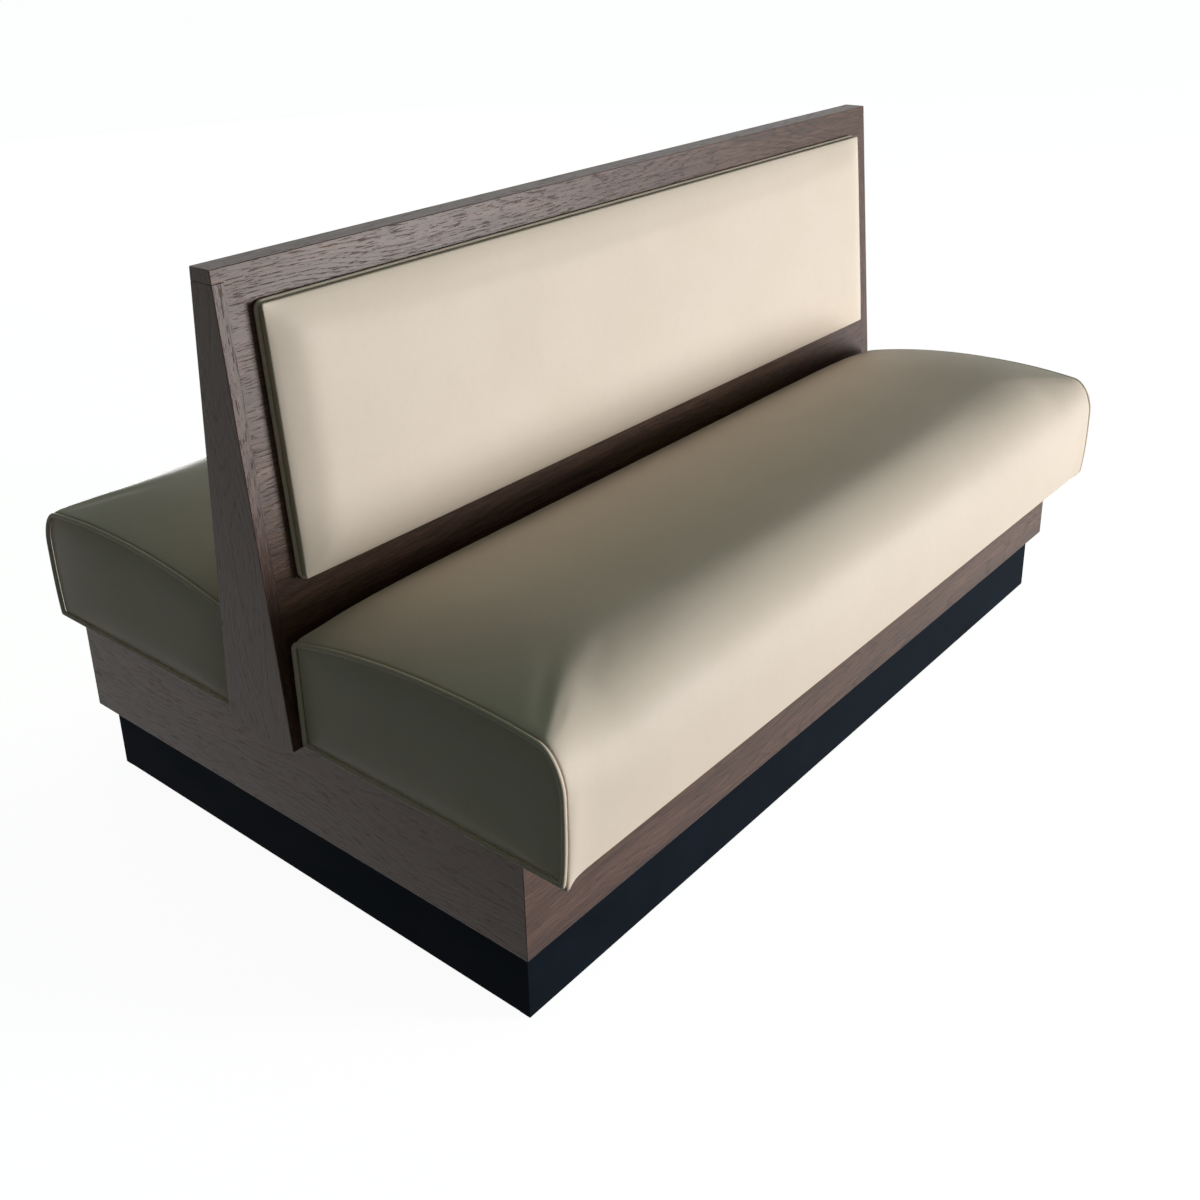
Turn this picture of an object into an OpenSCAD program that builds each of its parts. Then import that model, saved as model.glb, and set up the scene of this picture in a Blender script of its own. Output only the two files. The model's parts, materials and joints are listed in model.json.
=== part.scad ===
// Double-sided banquette bench: two upholstered seats share one timber base and one back.
// Millimetres, +Z up, the long side along X. The origin is the centre of the plinth's
// underside, on the floor. The front seat faces -Y and the rear seat faces +Y.

/* [Overall] */
// Height of the back above the floor
overall_h = 915; // [760:5:1300]
// Length of the base, the seats and the back panels
base_l = 1524; // [1000:4:2400]
// Depth of the base over its front and rear fascias
base_d = 944; // [820:2:1300]

/* [Plinth and feet] */
// Height of the recessed plinth
plinth_h = 114; // [80:1:200]
// Setback of the plinth from the base on every side
plinth_recess = 19; // [4:1:60]
// Thickness of the plinth boards
plinth_t = 18; // [12:1:25]
// Side of the square blocks that hold the levelling feet
foot_block_w = 70; // [50:1:100]
// Diameter of a levelling foot's pad
foot_pad_d = 40; // [30:1:48]
// Thickness of a levelling foot's pad
foot_pad_t = 6; // [4:1:10]
// Diameter of a levelling foot's stem
foot_stem_d = 10; // [8:1:12]
// How far a levelling foot screws down
foot_travel = 12; // [5:1:20]
// Length of the threaded insert that guides a stem
foot_insert_l = 16; // [10:1:25]

/* [Base box] */
// Height of the base box above the plinth
base_h = 143; // [100:1:250]
// Thickness of the front, rear and end boards
fascia_t = 18; // [12:1:25]
// Thickness of the planks above and below the ribs
plank_t = 18; // [12:1:25]
// Width of the planks behind the front and rear boards
edge_plank_w = 90; // [60:1:140]
// Width of the plank under the back
centre_plank_w = 300; // [260:2:380]
// Thickness of the ribs across the base
rib_t = 18; // [12:1:25]

/* [Back] */
// Thickness of the gables on the ends
gable_t = 18; // [12:1:25]
// Thickness of the top cap
cap_t = 18; // [12:1:30]
// Width over the back at the very top
back_top_w = 40; // [34:1:80]
// Width over the back where it stands on the base
back_foot_w = 140; // [110:1:220]
// Thickness of the two veneered panels
panel_t = 9; // [6:0.5:12]
// Height of the rail under the cap
top_rail_h = 40; // [30:1:70]
// Thickness of the plate that the back stands on
sole_t = 18; // [12:1:30]
// Thickness of the studs between the panels
stud_t = 18; // [16:1:40]

/* [Seats] */
// Gap between the piping of a seat and the foot of the back
seat_gap = 0.7; // [0.5:0.1:6]
// How far the lower front edge of a seat stands out past the base
seat_overhang = 63; // [30:1:90]
// How far the front of a seat swells past its lower edge
seat_front_swell = 8.5; // [2:0.5:20]
// Height of the highest point of a seat's end above the base
seat_h = 197; // [140:1:260]
// Fall from there to a seat's back edge
seat_back_fall = 35; // [10:1:60]
// Fall from there to where the rounded nose begins
seat_nose_fall = 7; // [2:0.5:20]
// Depth of the rounded nose, from its front to where the top begins
seat_nose_d = 34; // [20:1:50]
// Drop of the rounded nose, from its top to where the front begins
seat_nose_drop = 64; // [30:1:90]
// Radius of the corner along the back edge of a seat
seat_back_r = 12; // [6:1:20]
// Extra height of a seat half way along
seat_crown = 12; // [3:1:25]
// How far the end panels of a seat bulge
seat_end_swell = 4; // [1:0.5:10]
// Thickness of the seat boards
seat_board_t = 18; // [12:1:25]

/* [Back pads] */
// Distance from each end of a pad to the nearer gable
pad_side_gap = 37; // [10:1:120]
// Distance up the slope from a seat's back edge to a pad
pad_seat_gap = 75; // [30:1:120]
// Distance up the slope from a pad to the cap
pad_top_gap = 34; // [10:1:90]
// Depth of a pad at its edges
pad_t = 19.5; // [16:0.5:40]
// Extra depth of a pad in its middle
pad_crown = 5; // [1:0.5:15]
// Radius of a pad's corners, seen from the front
pad_corner_r = 14; // [9:1:30]
// Radius of the edge round a pad's face
pad_edge_r = 6; // [3:0.5:9]
// Thickness of a pad's board
pad_board_t = 6; // [4:0.5:9]

/* [Cover and piping] */
// Thickness of the vinyl cover with its wadding
cover_t = 2; // [1:0.5:3]
// Diameter of the piping
piping_d = 5; // [4:0.5:7]

/* [Fixings] */
// Diameter of the seat screws
screw_d = 5; // [4:0.5:6]
// Thickness of seat board left above the tip of a screw
screw_cover = 4; // [2:0.5:8]
// Diameter of the bolts that hold the back down
bolt_d = 8; // [6:1:10]
// Diameter of the dowels
dowel_d = 8; // [6:1:10]
// Depth that a dowel enters a gable or the cap
dowel_depth = 10; // [6:1:11]
// Diameter of the shank of a pad button
button_d = 8; // [5:0.5:10]

/* [Hidden] */

// Number of straight sides on true round shapes
$fn = 48;

// Colours of the finishes
oak_colour = [0.25, 0.18, 0.14];
plinth_colour = [0.06, 0.07, 0.09];
vinyl_colour = [0.84, 0.80, 0.71];
ply_colour = [0.78, 0.64, 0.44];
pine_colour = [0.86, 0.72, 0.50];
foam_colour = [0.93, 0.88, 0.66];
steel_colour = [0.70, 0.71, 0.73];
plastic_colour = [0.12, 0.12, 0.13];

// Overrun of every cut past the face that it opens
overrun = 1;
// Clearance between soft pieces and their neighbours
soft_clear = 0.3;
// Clearance of a fixing in the hole that it passes through, on the radius
fixing_clear = 0.25;
// Running clearance of a foot's stem in its insert, on the radius
stem_clear = 0.05;
// Small flat along the outer edges of the show timber
arris = 1;

// Main levels and half sizes
base_top_z = plinth_h + base_h;
cap_bottom_z = overall_h - cap_t;
half_l = base_l / 2;
half_d = base_d / 2;
plinth_half_l = half_l - plinth_recess;
plinth_half_d = half_d - plinth_recess;
gable_half_l = half_l + gable_t;
foot_half = back_foot_w / 2;
top_half = back_top_w / 2;
back_h = overall_h - base_top_z;
back_tilt = atan((foot_half - top_half) / back_h);
panel_skin = panel_t / cos(back_tilt);
slope_l = (cap_bottom_z - base_top_z) / cos(back_tilt);

// Piping lies in a step along each edge, and stands proud of the cover's outline
piping_bed_share = 0.6;
piping_bed = piping_d * piping_bed_share;
piping_r = piping_d / 2;
piping_set_in = piping_bed - soft_clear - piping_r;
piping_proud = piping_r - piping_set_in;

// Back edge of a seat, and its depth along its underside
seat_y = foot_half + seat_gap + piping_proud;
seat_d = half_d + seat_overhang - seat_y;

// Half the width over the back at height z
function back_half(z) = foot_half + (top_half - foot_half) * (z - base_top_z) / back_h;

// Places along the length, as shares of half the base length
rib_share = 0.40;
seat_screw_shares = [-0.78, 0, 0.78];
bolt_shares = [-0.85, -0.30, 0.30, 0.85];
cap_dowel_shares = [-0.90, -0.45, 0, 0.45, 0.90];
// Places of the gable dowels, as shares of the back's height
gable_dowel_shares = [0.12, 0.36, 0.60, 0.82];
// Places of the pad buttons, as shares of half the pad's length and half its height
button_x_shares = [-0.88, -0.32, 0.32, 0.88];
button_w_shares = [-0.70, 0.70];

// A block between two opposite corners
module slab(low, high) {
    translate(low) cube(high - low);
}

// An outline in Y and Z drawn along X from x0 to x1
module along_x(x0, x1, outline) {
    translate([x0, 0, 0])
        rotate([90, 0, 90])
            linear_extrude(height = x1 - x0) polygon(outline);
}

// The rear half is the front half turned round
module to_rear() {
    rotate([0, 0, 180]) children();
}

// Moves children onto the sloping front face of the back: local Z runs up the slope,
// and local -Y points away from the panel
module on_front_slope() {
    translate([0, -foot_half, base_top_z])
        rotate([-back_tilt, 0, 0]) children();
}

// Plinth: four boards, two bearers under the ribs and a block in each corner

module plinth_long_board() {
    color(plinth_colour)
        slab([-plinth_half_l, -plinth_half_d, 0], [plinth_half_l, plinth_t - plinth_half_d, plinth_h]);
}

module plinth_end_board() {
    color(plinth_colour)
        slab([-plinth_half_l, plinth_t - plinth_half_d, 0],
             [plinth_t - plinth_half_l, plinth_half_d - plinth_t, plinth_h]);
}

module plinth_bearer(side) {
    x = side * rib_share * half_l;
    color(ply_colour)
        slab([x - rib_t / 2, plinth_t - plinth_half_d, 0],
             [x + rib_t / 2, plinth_half_d - plinth_t, plinth_h]);
}

// Levelling feet: pad, stem, insert and block share one vertical axis in each corner

foot_rest_z = 1;
insert_flange_t = 1.5;
insert_flange_d = foot_stem_d * 2.2;
insert_barrel_d = foot_stem_d * 1.4;
stem_spare = 6;
foot_pad_top_z = foot_rest_z + foot_pad_t;
insert_z = foot_pad_top_z + soft_clear;
foot_block_z = insert_z + insert_flange_t;
stem_top_z = foot_block_z + foot_insert_l + foot_travel + stem_spare;
stem_pocket_z = stem_top_z + stem_spare;
foot_x = plinth_half_l - plinth_t - foot_block_w / 2;
foot_y = plinth_half_d - plinth_t - foot_block_w / 2;

module foot_block(sx, sy) {
    color(pine_colour)
        difference() {
            slab([sx * foot_x - foot_block_w / 2, sy * foot_y - foot_block_w / 2, foot_block_z],
                 [sx * foot_x + foot_block_w / 2, sy * foot_y + foot_block_w / 2, plinth_h]);
            translate([sx * foot_x, sy * foot_y, foot_block_z - overrun])
                cylinder(h = foot_insert_l + overrun, d = insert_barrel_d);
            translate([sx * foot_x, sy * foot_y, foot_block_z])
                cylinder(h = stem_pocket_z - foot_block_z, d = foot_stem_d + 2 * fixing_clear);
        }
}

module levelling_foot(sx, sy) {
    pad_chamfer = foot_pad_t / 4;
    color(steel_colour)
        translate([sx * foot_x, sy * foot_y, foot_rest_z]) {
            rotate_extrude()
                polygon([
                    [0, 0],
                    [foot_pad_d / 2 - pad_chamfer, 0],
                    [foot_pad_d / 2, pad_chamfer],
                    [foot_pad_d / 2, foot_pad_t - pad_chamfer],
                    [foot_pad_d / 2 - pad_chamfer, foot_pad_t],
                    [foot_stem_d / 2, foot_pad_t],
                    [foot_stem_d / 2, stem_top_z - foot_rest_z],
                    [0, stem_top_z - foot_rest_z]
                ]);
        }
}

module foot_inserts() {
    bore_d = foot_stem_d + 2 * stem_clear;
    color(steel_colour)
        for (sx = [-1, 1], sy = [-1, 1])
            translate([sx * foot_x, sy * foot_y, insert_z])
                difference() {
                    union() {
                        cylinder(h = insert_flange_t, d = insert_flange_d);
                        cylinder(h = insert_flange_t + foot_insert_l, d = insert_barrel_d);
                    }
                    translate([0, 0, -overrun])
                        cylinder(h = insert_flange_t + foot_insert_l + 2 * overrun, d = bore_d);
                }
}

// Base box: mitred show boards round ribs, with planks above them and sills below

plank_z = base_top_z - plank_t;
sill_top_z = plinth_h + plank_t;
inner_half_l = half_l - fascia_t;
inner_half_d = half_d - fascia_t;
seat_screw_front_y = inner_half_d - edge_plank_w / 2;
seat_screw_back_y = (seat_y + centre_plank_w / 2) / 2;

module base_long_board() {
    color(oak_colour)
        translate([0, 0, plinth_h])
            linear_extrude(height = base_h)
                polygon([
                    [-half_l + arris, -half_d],
                    [half_l - arris, -half_d],
                    [half_l - arris / 2, arris / 2 - half_d],
                    [inner_half_l, -inner_half_d],
                    [-inner_half_l, -inner_half_d],
                    [arris / 2 - half_l, arris / 2 - half_d]
                ]);
}

module base_end_board() {
    color(oak_colour)
        translate([0, 0, plinth_h])
            linear_extrude(height = base_h)
                polygon([
                    [-half_l, -half_d + arris],
                    [arris / 2 - half_l, arris / 2 - half_d],
                    [-inner_half_l, -inner_half_d],
                    [-inner_half_l, inner_half_d],
                    [arris / 2 - half_l, half_d - arris / 2],
                    [-half_l, half_d - arris]
                ]);
}

module base_rib(side) {
    x = side * rib_share * half_l;
    color(ply_colour)
        slab([x - rib_t / 2, -inner_half_d, sill_top_z], [x + rib_t / 2, inner_half_d, plank_z]);
}

// Upright holes through a board at the given places along X
module upright_holes(x_shares, y, z0, z1, d) {
    for (share = x_shares)
        translate([share * half_l, y, z0 - overrun])
            cylinder(h = z1 - z0 + 2 * overrun, d = d);
}

module base_edge_plank() {
    color(ply_colour)
        difference() {
            slab([-inner_half_l, -inner_half_d, plank_z],
                 [inner_half_l, edge_plank_w - inner_half_d, base_top_z]);
            upright_holes(seat_screw_shares, -seat_screw_front_y, plank_z, base_top_z,
                          screw_d + 2 * fixing_clear);
        }
}

module base_centre_plank() {
    color(ply_colour)
        difference() {
            slab([-inner_half_l, -centre_plank_w / 2, plank_z],
                 [inner_half_l, centre_plank_w / 2, base_top_z]);
            for (side = [-1, 1])
                upright_holes(seat_screw_shares, side * seat_screw_back_y, plank_z, base_top_z,
                              screw_d + 2 * fixing_clear);
            upright_holes(bolt_shares, 0, plank_z, base_top_z, bolt_d + 2 * fixing_clear);
        }
}

module base_sill() {
    color(ply_colour)
        slab([-inner_half_l, -inner_half_d, plinth_h],
             [inner_half_l, edge_plank_w - inner_half_d, sill_top_z]);
}

// Back: gables on the ends, a cap, two sloping panels, and a frame between the panels

sole_top_z = base_top_z + sole_t;
top_rail_z = cap_bottom_z - top_rail_h;

// Four corners of an even taper between two levels, drawn in from the back's faces
function taper(z0, z1, skin) = [
    [skin - back_half(z0), z0],
    [back_half(z0) - skin, z0],
    [back_half(z1) - skin, z1],
    [skin - back_half(z1), z1]
];

// Dowel axes: out of the end studs into the gables, and out of the rail into the cap
dowel_l = dowel_depth * 2.5;
dowel_hole_d = dowel_d + 2 * fixing_clear;
dowel_tail = dowel_l - dowel_depth;

function gable_dowel_z(share) = base_top_z + share * back_h;

module gable_dowel_row(side, d, extra) {
    for (share = gable_dowel_shares)
        translate([side * (half_l - dowel_tail - extra), 0, gable_dowel_z(share)])
            rotate([0, side * 90, 0]) cylinder(h = dowel_l + 2 * extra, d = d);
}

module cap_dowel_row(d, extra) {
    for (share = cap_dowel_shares)
        translate([share * half_l, 0, cap_bottom_z - dowel_tail - extra])
            cylinder(h = dowel_l + 2 * extra, d = d);
}

module gable(side) {
    color(oak_colour)
        difference() {
            along_x(side > 0 ? half_l : -gable_half_l, side > 0 ? gable_half_l : -half_l,
                    taper(base_top_z, cap_bottom_z, 0));
            gable_dowel_row(side, dowel_hole_d, soft_clear);
        }
}

module top_cap() {
    color(oak_colour)
        difference() {
            along_x(-gable_half_l, gable_half_l, [
                [-back_half(cap_bottom_z), cap_bottom_z],
                [back_half(cap_bottom_z), cap_bottom_z],
                [back_half(overall_h - arris), overall_h - arris],
                [top_half - arris, overall_h],
                [arris - top_half, overall_h],
                [-back_half(overall_h - arris), overall_h - arris]
            ]);
            cap_dowel_row(dowel_hole_d, soft_clear);
        }
}

module back_panel() {
    color(oak_colour)
        difference() {
            along_x(-half_l, half_l, [
                [-back_half(base_top_z), base_top_z],
                [panel_skin - back_half(base_top_z), base_top_z],
                [panel_skin - back_half(cap_bottom_z), cap_bottom_z],
                [-back_half(cap_bottom_z), cap_bottom_z]
            ]);
            on_front_slope() pad_button_row(button_d + 2 * fixing_clear, panel_t + overrun, overrun);
        }
}

module back_top_rail() {
    color(pine_colour)
        difference() {
            along_x(-half_l, half_l, taper(top_rail_z, cap_bottom_z, panel_skin));
            cap_dowel_row(dowel_hole_d, soft_clear);
        }
}

module back_sole_plate() {
    color(ply_colour)
        difference() {
            along_x(-half_l, half_l, taper(base_top_z, sole_top_z, panel_skin));
            upright_holes(bolt_shares, 0, base_top_z, sole_top_z, tee_barrel_d);
        }
}

// place is -1 for the left end, 0 for the middle and 1 for the right end
module back_stud(place) {
    x = place * (half_l - stud_t / 2);
    color(pine_colour)
        difference() {
            along_x(x - stud_t / 2, x + stud_t / 2, taper(sole_top_z, top_rail_z, panel_skin));
            if (place != 0) gable_dowel_row(place, dowel_hole_d, soft_clear);
        }
}

module back_dowels() {
    color(pine_colour) {
        gable_dowel_row(-1, dowel_d, 0);
        gable_dowel_row(1, dowel_d, 0);
        cap_dowel_row(dowel_d, 0);
    }
}

// Bolts come up through the plank into tee nuts on the sole plate
bolt_head_h = bolt_d * 0.65;
bolt_head_d = bolt_d * 1.8;
bolt_washer_d = bolt_d * 2.2;
bolt_washer_t = bolt_d * 0.2;
tee_flange_t = 1.5;
tee_flange_d = bolt_d * 2.75;
tee_barrel_d = bolt_d * 1.3;

module back_bolts() {
    color(steel_colour)
        for (share = bolt_shares)
            translate([share * half_l, 0, plank_z]) {
                cylinder(h = plank_t + sole_t, d = bolt_d);
                translate([0, 0, -bolt_washer_t]) cylinder(h = bolt_washer_t, d = bolt_washer_d);
                translate([0, 0, -bolt_washer_t - bolt_head_h])
                    cylinder(h = bolt_head_h, d = bolt_head_d, $fn = 6);
            }
}

module back_tee_nuts() {
    color(steel_colour)
        for (share = bolt_shares)
            translate([share * half_l, 0, base_top_z])
                difference() {
                    union() {
                        cylinder(h = sole_t, d = tee_barrel_d);
                        translate([0, 0, sole_t]) cylinder(h = tee_flange_t, d = tee_flange_d);
                    }
                    translate([0, 0, -overrun])
                        cylinder(h = sole_t + tee_flange_t + 2 * overrun, d = bolt_d + 2 * stem_clear);
                }
}

// Soft forms: rings of points joined into closed skins

// Middle of a ring of points
function middle(ring) = [for (k = [0:2]) (min([for (p = ring) p[k]]) + max([for (p = ring) p[k]])) / 2];

// One closed skin over a row of rings, with a fan of triangles on each end
module skin(rings) {
    n = len(rings[0]);
    m = len(rings);
    points = concat([for (ring = rings) each ring], [middle(rings[0]), middle(rings[m - 1])]);
    sides = [for (i = [0:m - 2], j = [0:n - 1], half = [0, 1])
        let (a = i * n + j, b = i * n + (j + 1) % n)
            half == 0 ? [a, b + n, b] : [a, a + n, b + n]];
    first_end = [for (j = [0:n - 1]) [m * n, j, (j + 1) % n]];
    last_end = [for (j = [0:n - 1]) [m * n + 1, (m - 1) * n + (j + 1) % n, (m - 1) * n + j]];
    polyhedron(points = points, faces = concat(sides, first_end, last_end), convexity = 6);
}

// A tube round a flat closed path: across is the direction square to the path's plane
module piping_loop(path, across) {
    n = len(path);
    sides = 6;
    edge = [for (i = [0:n - 1]) let (d = path[(i + 1) % n] - path[i]) d / norm(d)];
    out = [for (i = [0:n - 1]) cross(edge[i], across)];
    mitre = [for (i = [0:n - 1])
        let (a = out[(i + n - 1) % n], b = out[i]) (a + b) / (1 + a * b)];
    points = [for (i = [0:n - 1], k = [0:sides - 1])
        let (turn = (k + 0.5) * 360 / sides)
            path[i] + piping_r * (cos(turn) * mitre[i] + sin(turn) * across)];
    faces = [for (i = [0:n - 1], k = [0:sides - 1], half = [0, 1])
        let (a = i * sides + k, b = i * sides + (k + 1) % sides,
             c = ((i + 1) % n) * sides + k, d = ((i + 1) % n) * sides + (k + 1) % sides)
            half == 0 ? [a, b, d] : [a, d, c]];
    polyhedron(points = points, faces = faces, convexity = 10);
}

// Seat: the end outline runs up the back edge, over the top, round the nose and down the front

seat_peak_share = 0.65;
seat_back_curve = 2.2;
seat_front_curve = 2;
seat_swell_curve = 2.2;
seat_crown_curve = 6;
seat_lift_curve = 0.3;
seat_top_steps = 8;
seat_nose_steps = 5;
seat_front_steps = 4;
seat_corner_steps = 3;
seat_peak_u = seat_peak_share * seat_d;
seat_back_h = seat_h - seat_back_fall;
seat_nose_h = seat_h - seat_nose_fall;
seat_front_u = seat_d + seat_front_swell;
seat_nose_u = seat_front_u - seat_nose_d;
seat_front_z = seat_nose_h - seat_nose_drop;

// Height of the end outline above the base, at a distance u from the back edge
function seat_top(u) = u < seat_peak_u
    ? seat_h - (seat_h - seat_back_h) * pow((seat_peak_u - u) / seat_peak_u, seat_back_curve)
    : seat_h - (seat_h - seat_nose_h)
        * pow((u - seat_peak_u) / (seat_nose_u - seat_peak_u), seat_front_curve);

// How much of the crown reaches a distance u from the back edge
function lift_share(u) = pow(sin(180 * u / seat_front_u), seat_lift_curve);

// Outline of a seat drawn in by inset, standing low above the base, raised by lift in its middle
function seat_outline(inset, low, lift) = concat(
    [[inset, low]],
    [for (i = [0:seat_corner_steps])
        let (turn = 90 * i / seat_corner_steps, r = seat_back_r - inset)
            [seat_back_r - r * cos(turn),
             seat_top(seat_back_r) - seat_back_r + r * sin(turn) + lift * lift_share(seat_back_r)]],
    [for (i = [1:seat_top_steps])
        let (u = seat_back_r + (seat_nose_u - seat_back_r) * i / seat_top_steps)
            [u, seat_top(u) - inset + lift * lift_share(u)]],
    [for (i = [1:seat_nose_steps])
        let (turn = 90 * i / seat_nose_steps,
             drop = seat_nose_drop - inset + lift * lift_share(seat_nose_u))
            [seat_nose_u + (seat_nose_d - inset) * sin(turn), seat_front_z + drop * cos(turn)]],
    [for (i = [1:seat_front_steps])
        let (rest = 1 - i / seat_front_steps)
            [seat_front_u - inset - seat_front_swell * pow(1 - rest, seat_swell_curve),
             low + (seat_front_z - low) * rest]]
);

// A ring of a seat's skin at x, as points in space
function seat_ring(x, outline) = [for (p = outline) [x, -seat_y - p[0], base_top_z + p[1]]];

// A ring drawn in towards its middle by a share
function drawn_in(ring, share, x) =
    let (m = middle(ring)) [for (p = ring) [x, m[1] + (p[1] - m[1]) * share, m[2] + (p[2] - m[2]) * share]];

function seat_lift(x) = seat_crown * (1 - pow(abs(x) / half_l, seat_crown_curve));

seat_station_shares = [0, 0.45, 0.70, 0.84, 0.93, 0.98];
seat_cover_end = half_l - piping_bed;
seat_inner_end = seat_cover_end - cover_t;
seat_board_end = seat_inner_end - soft_clear;
piping_low = soft_clear + piping_r;
end_panel_low = piping_low + piping_r + soft_clear;

// X places of the rings from one end to the other
function both_ways(x_end) = concat(
    [-x_end],
    [for (i = [len(seat_station_shares) - 1:-1:1]) -seat_station_shares[i] * x_end],
    [for (share = seat_station_shares) share * x_end],
    [x_end]
);

// A seat's body with flat ends, drawn in by inset
module seat_body(inset, low, x_end) {
    skin([for (x = both_ways(x_end)) seat_ring(x, seat_outline(inset, low, seat_lift(x)))]);
}

// End panel: a shallow dome inside the step that the piping lies in
end_dome_shares = [0.86, 0.55];
module seat_end_panel(side) {
    outline = seat_outline(piping_bed, end_panel_low, 0);
    rim = seat_ring(side * half_l, outline);
    root = seat_ring(side * seat_inner_end, outline);
    domes = [for (share = end_dome_shares)
        drawn_in(rim, share, side * (half_l + seat_end_swell * (1 - share * share)))];
    rings = concat([root, rim], domes);
    skin(side > 0 ? rings : [for (i = [len(rings) - 1:-1:0]) rings[i]]);
}

module seat_cover() {
    color(vinyl_colour)
        difference() {
            union() {
                seat_body(0, soft_clear, seat_cover_end);
                seat_end_panel(-1);
                seat_end_panel(1);
            }
            seat_body(cover_t, -overrun, seat_inner_end);
        }
}

module seat_foam() {
    color(foam_colour)
        seat_body(cover_t + soft_clear, seat_board_t + soft_clear, seat_board_end);
}

module seat_board() {
    edge = cover_t + soft_clear;
    color(ply_colour)
        difference() {
            slab([-seat_board_end, edge - seat_y - seat_d, base_top_z],
                 [seat_board_end, -seat_y - edge, base_top_z + seat_board_t]);
            upright_holes(seat_screw_shares, -seat_screw_front_y, base_top_z,
                          base_top_z + seat_board_t, screw_d + 2 * fixing_clear);
            upright_holes(seat_screw_shares, -seat_screw_back_y, base_top_z,
                          base_top_z + seat_board_t, screw_d + 2 * fixing_clear);
        }
}

module seat_piping(side) {
    path = seat_ring(side * (half_l - piping_set_in), seat_outline(piping_set_in, piping_low, 0));
    color(vinyl_colour) piping_loop(path, [1, 0, 0]);
}

// Seat screws come up through the planks into the seat boards
screw_l = plank_t + seat_board_t - screw_cover;
screw_head_d = screw_d * 2;
screw_head_t = screw_d * 0.6;

module seat_screws() {
    color(steel_colour)
        for (share = seat_screw_shares, side = [-1, 1], y = [seat_screw_front_y, seat_screw_back_y])
            translate([share * half_l, side * y, plank_z]) {
                cylinder(h = screw_l, d = screw_d);
                translate([0, 0, -screw_head_t]) cylinder(h = screw_head_t, d = screw_head_d);
            }
}

// Back pad: a boxed cushion on its own board, drawn in the slope's frame

pad_low = seat_back_h + pad_seat_gap;
pad_half_l = half_l - pad_side_gap;
pad_half_w = (slope_l - pad_top_gap - pad_low) / 2;
pad_mid = pad_low + pad_half_w;
pad_side_t = pad_t - pad_edge_r;
pad_corner_steps = 4;
pad_long_steps = 5;
pad_edge_steps = 2;
pad_crown_shares = [0.18, 0.45, 0.80];
pad_piping_v = soft_clear + piping_r;
pad_step_v = pad_piping_v + piping_r + soft_clear;
pad_inset = piping_bed + cover_t;
pad_board_inset = pad_inset + soft_clear;
// A pad's board stands just off the panel
pad_board_v = 0.1;
pad_board_top_v = pad_board_v + pad_board_t;
// Least corner radius of the rings on the face, as a share of the pad's corner radius
pad_least_r_share = 0.25;

// Rounded rectangle drawn in by inset, in the slope's frame, at a distance v off the panel
function pad_ring(inset, v) =
    let (r = max(pad_corner_r - inset, pad_corner_r * pad_least_r_share),
         cx = pad_half_l - inset - r, cw = pad_half_w - inset - r)
    [for (corner = [0:3])
        let (sx = corner == 0 || corner == 3 ? 1 : -1, sw = corner < 2 ? 1 : -1)
            each concat(
                [for (i = [0:pad_corner_steps - 1])
                    let (turn = 90 * (corner + i / (pad_corner_steps - 1)))
                        [sx * cx + r * cos(turn), -v, pad_mid + sw * cw + r * sin(turn)]],
                corner % 2 == 0
                    ? [for (i = [1:pad_long_steps - 1])
                        [sx * (cx - 2 * cx * i / pad_long_steps), -v, pad_mid + sw * (cw + r)]]
                    : []
            )];

// Depth of the pad's face at a distance inset from its edge
function pad_face(inset) = pad_t + pad_crown * (1 - pow(1 - inset / pad_half_w, 2));

// Rings over the rounded edge and the crowned face, for a skin that lies skin_t deep
function pad_face_rings(edge_inset, skin_t) =
    let (r = pad_edge_r)
    concat(
        [for (i = [0:pad_edge_steps])
            let (turn = 90 * i / pad_edge_steps)
                pad_ring(edge_inset + r * (1 - cos(turn)), pad_side_t + r * sin(turn) - skin_t)],
        [for (share = pad_crown_shares)
            let (inset = edge_inset + r + share * (pad_half_w - edge_inset - r))
                pad_ring(inset, pad_face(inset) - skin_t)]
    );

module pad_cover() {
    color(vinyl_colour)
        on_front_slope()
            difference() {
                skin(concat(
                    [pad_ring(piping_bed, soft_clear), pad_ring(piping_bed, pad_step_v), pad_ring(0, pad_step_v)],
                    pad_face_rings(0, 0)
                ));
                skin(concat([pad_ring(pad_inset, -overrun)], pad_face_rings(pad_inset, cover_t)));
            }
}

module pad_foam() {
    color(foam_colour)
        on_front_slope()
            skin(concat(
                [pad_ring(pad_board_inset, pad_board_top_v + soft_clear)],
                pad_face_rings(pad_board_inset, cover_t + soft_clear)
            ));
}

// Pad buttons: a flanged plug pressed through the pad's board into the panel
button_head_d = button_d * 1.6;
button_head_t = pad_board_t / 2;
button_tail = panel_t;

// Cylinders square to the slope at each button: back is the depth behind the panel's face
module pad_button_row(d, back, front) {
    for (sx = button_x_shares, sw = button_w_shares)
        translate([sx * pad_half_l, back, pad_mid + sw * pad_half_w])
            rotate([90, 0, 0]) cylinder(h = back + front, d = d);
}

module pad_board() {
    color(ply_colour)
        on_front_slope()
            difference() {
                translate([0, -pad_board_v, 0])
                    rotate([90, 0, 0])
                        linear_extrude(height = pad_board_t)
                            polygon([for (p = pad_ring(pad_board_inset, 0)) [p[0], p[2]]]);
                pad_button_row(button_d + 2 * fixing_clear, overrun, pad_board_top_v + overrun);
                pad_button_heads(button_head_d + 2 * fixing_clear, overrun);
            }
}

module pad_button_heads(d, extra) {
    for (sx = button_x_shares, sw = button_w_shares)
        translate([sx * pad_half_l, button_head_t - pad_board_top_v, pad_mid + sw * pad_half_w])
            rotate([90, 0, 0]) cylinder(h = button_head_t + extra, d = d);
}

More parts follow.
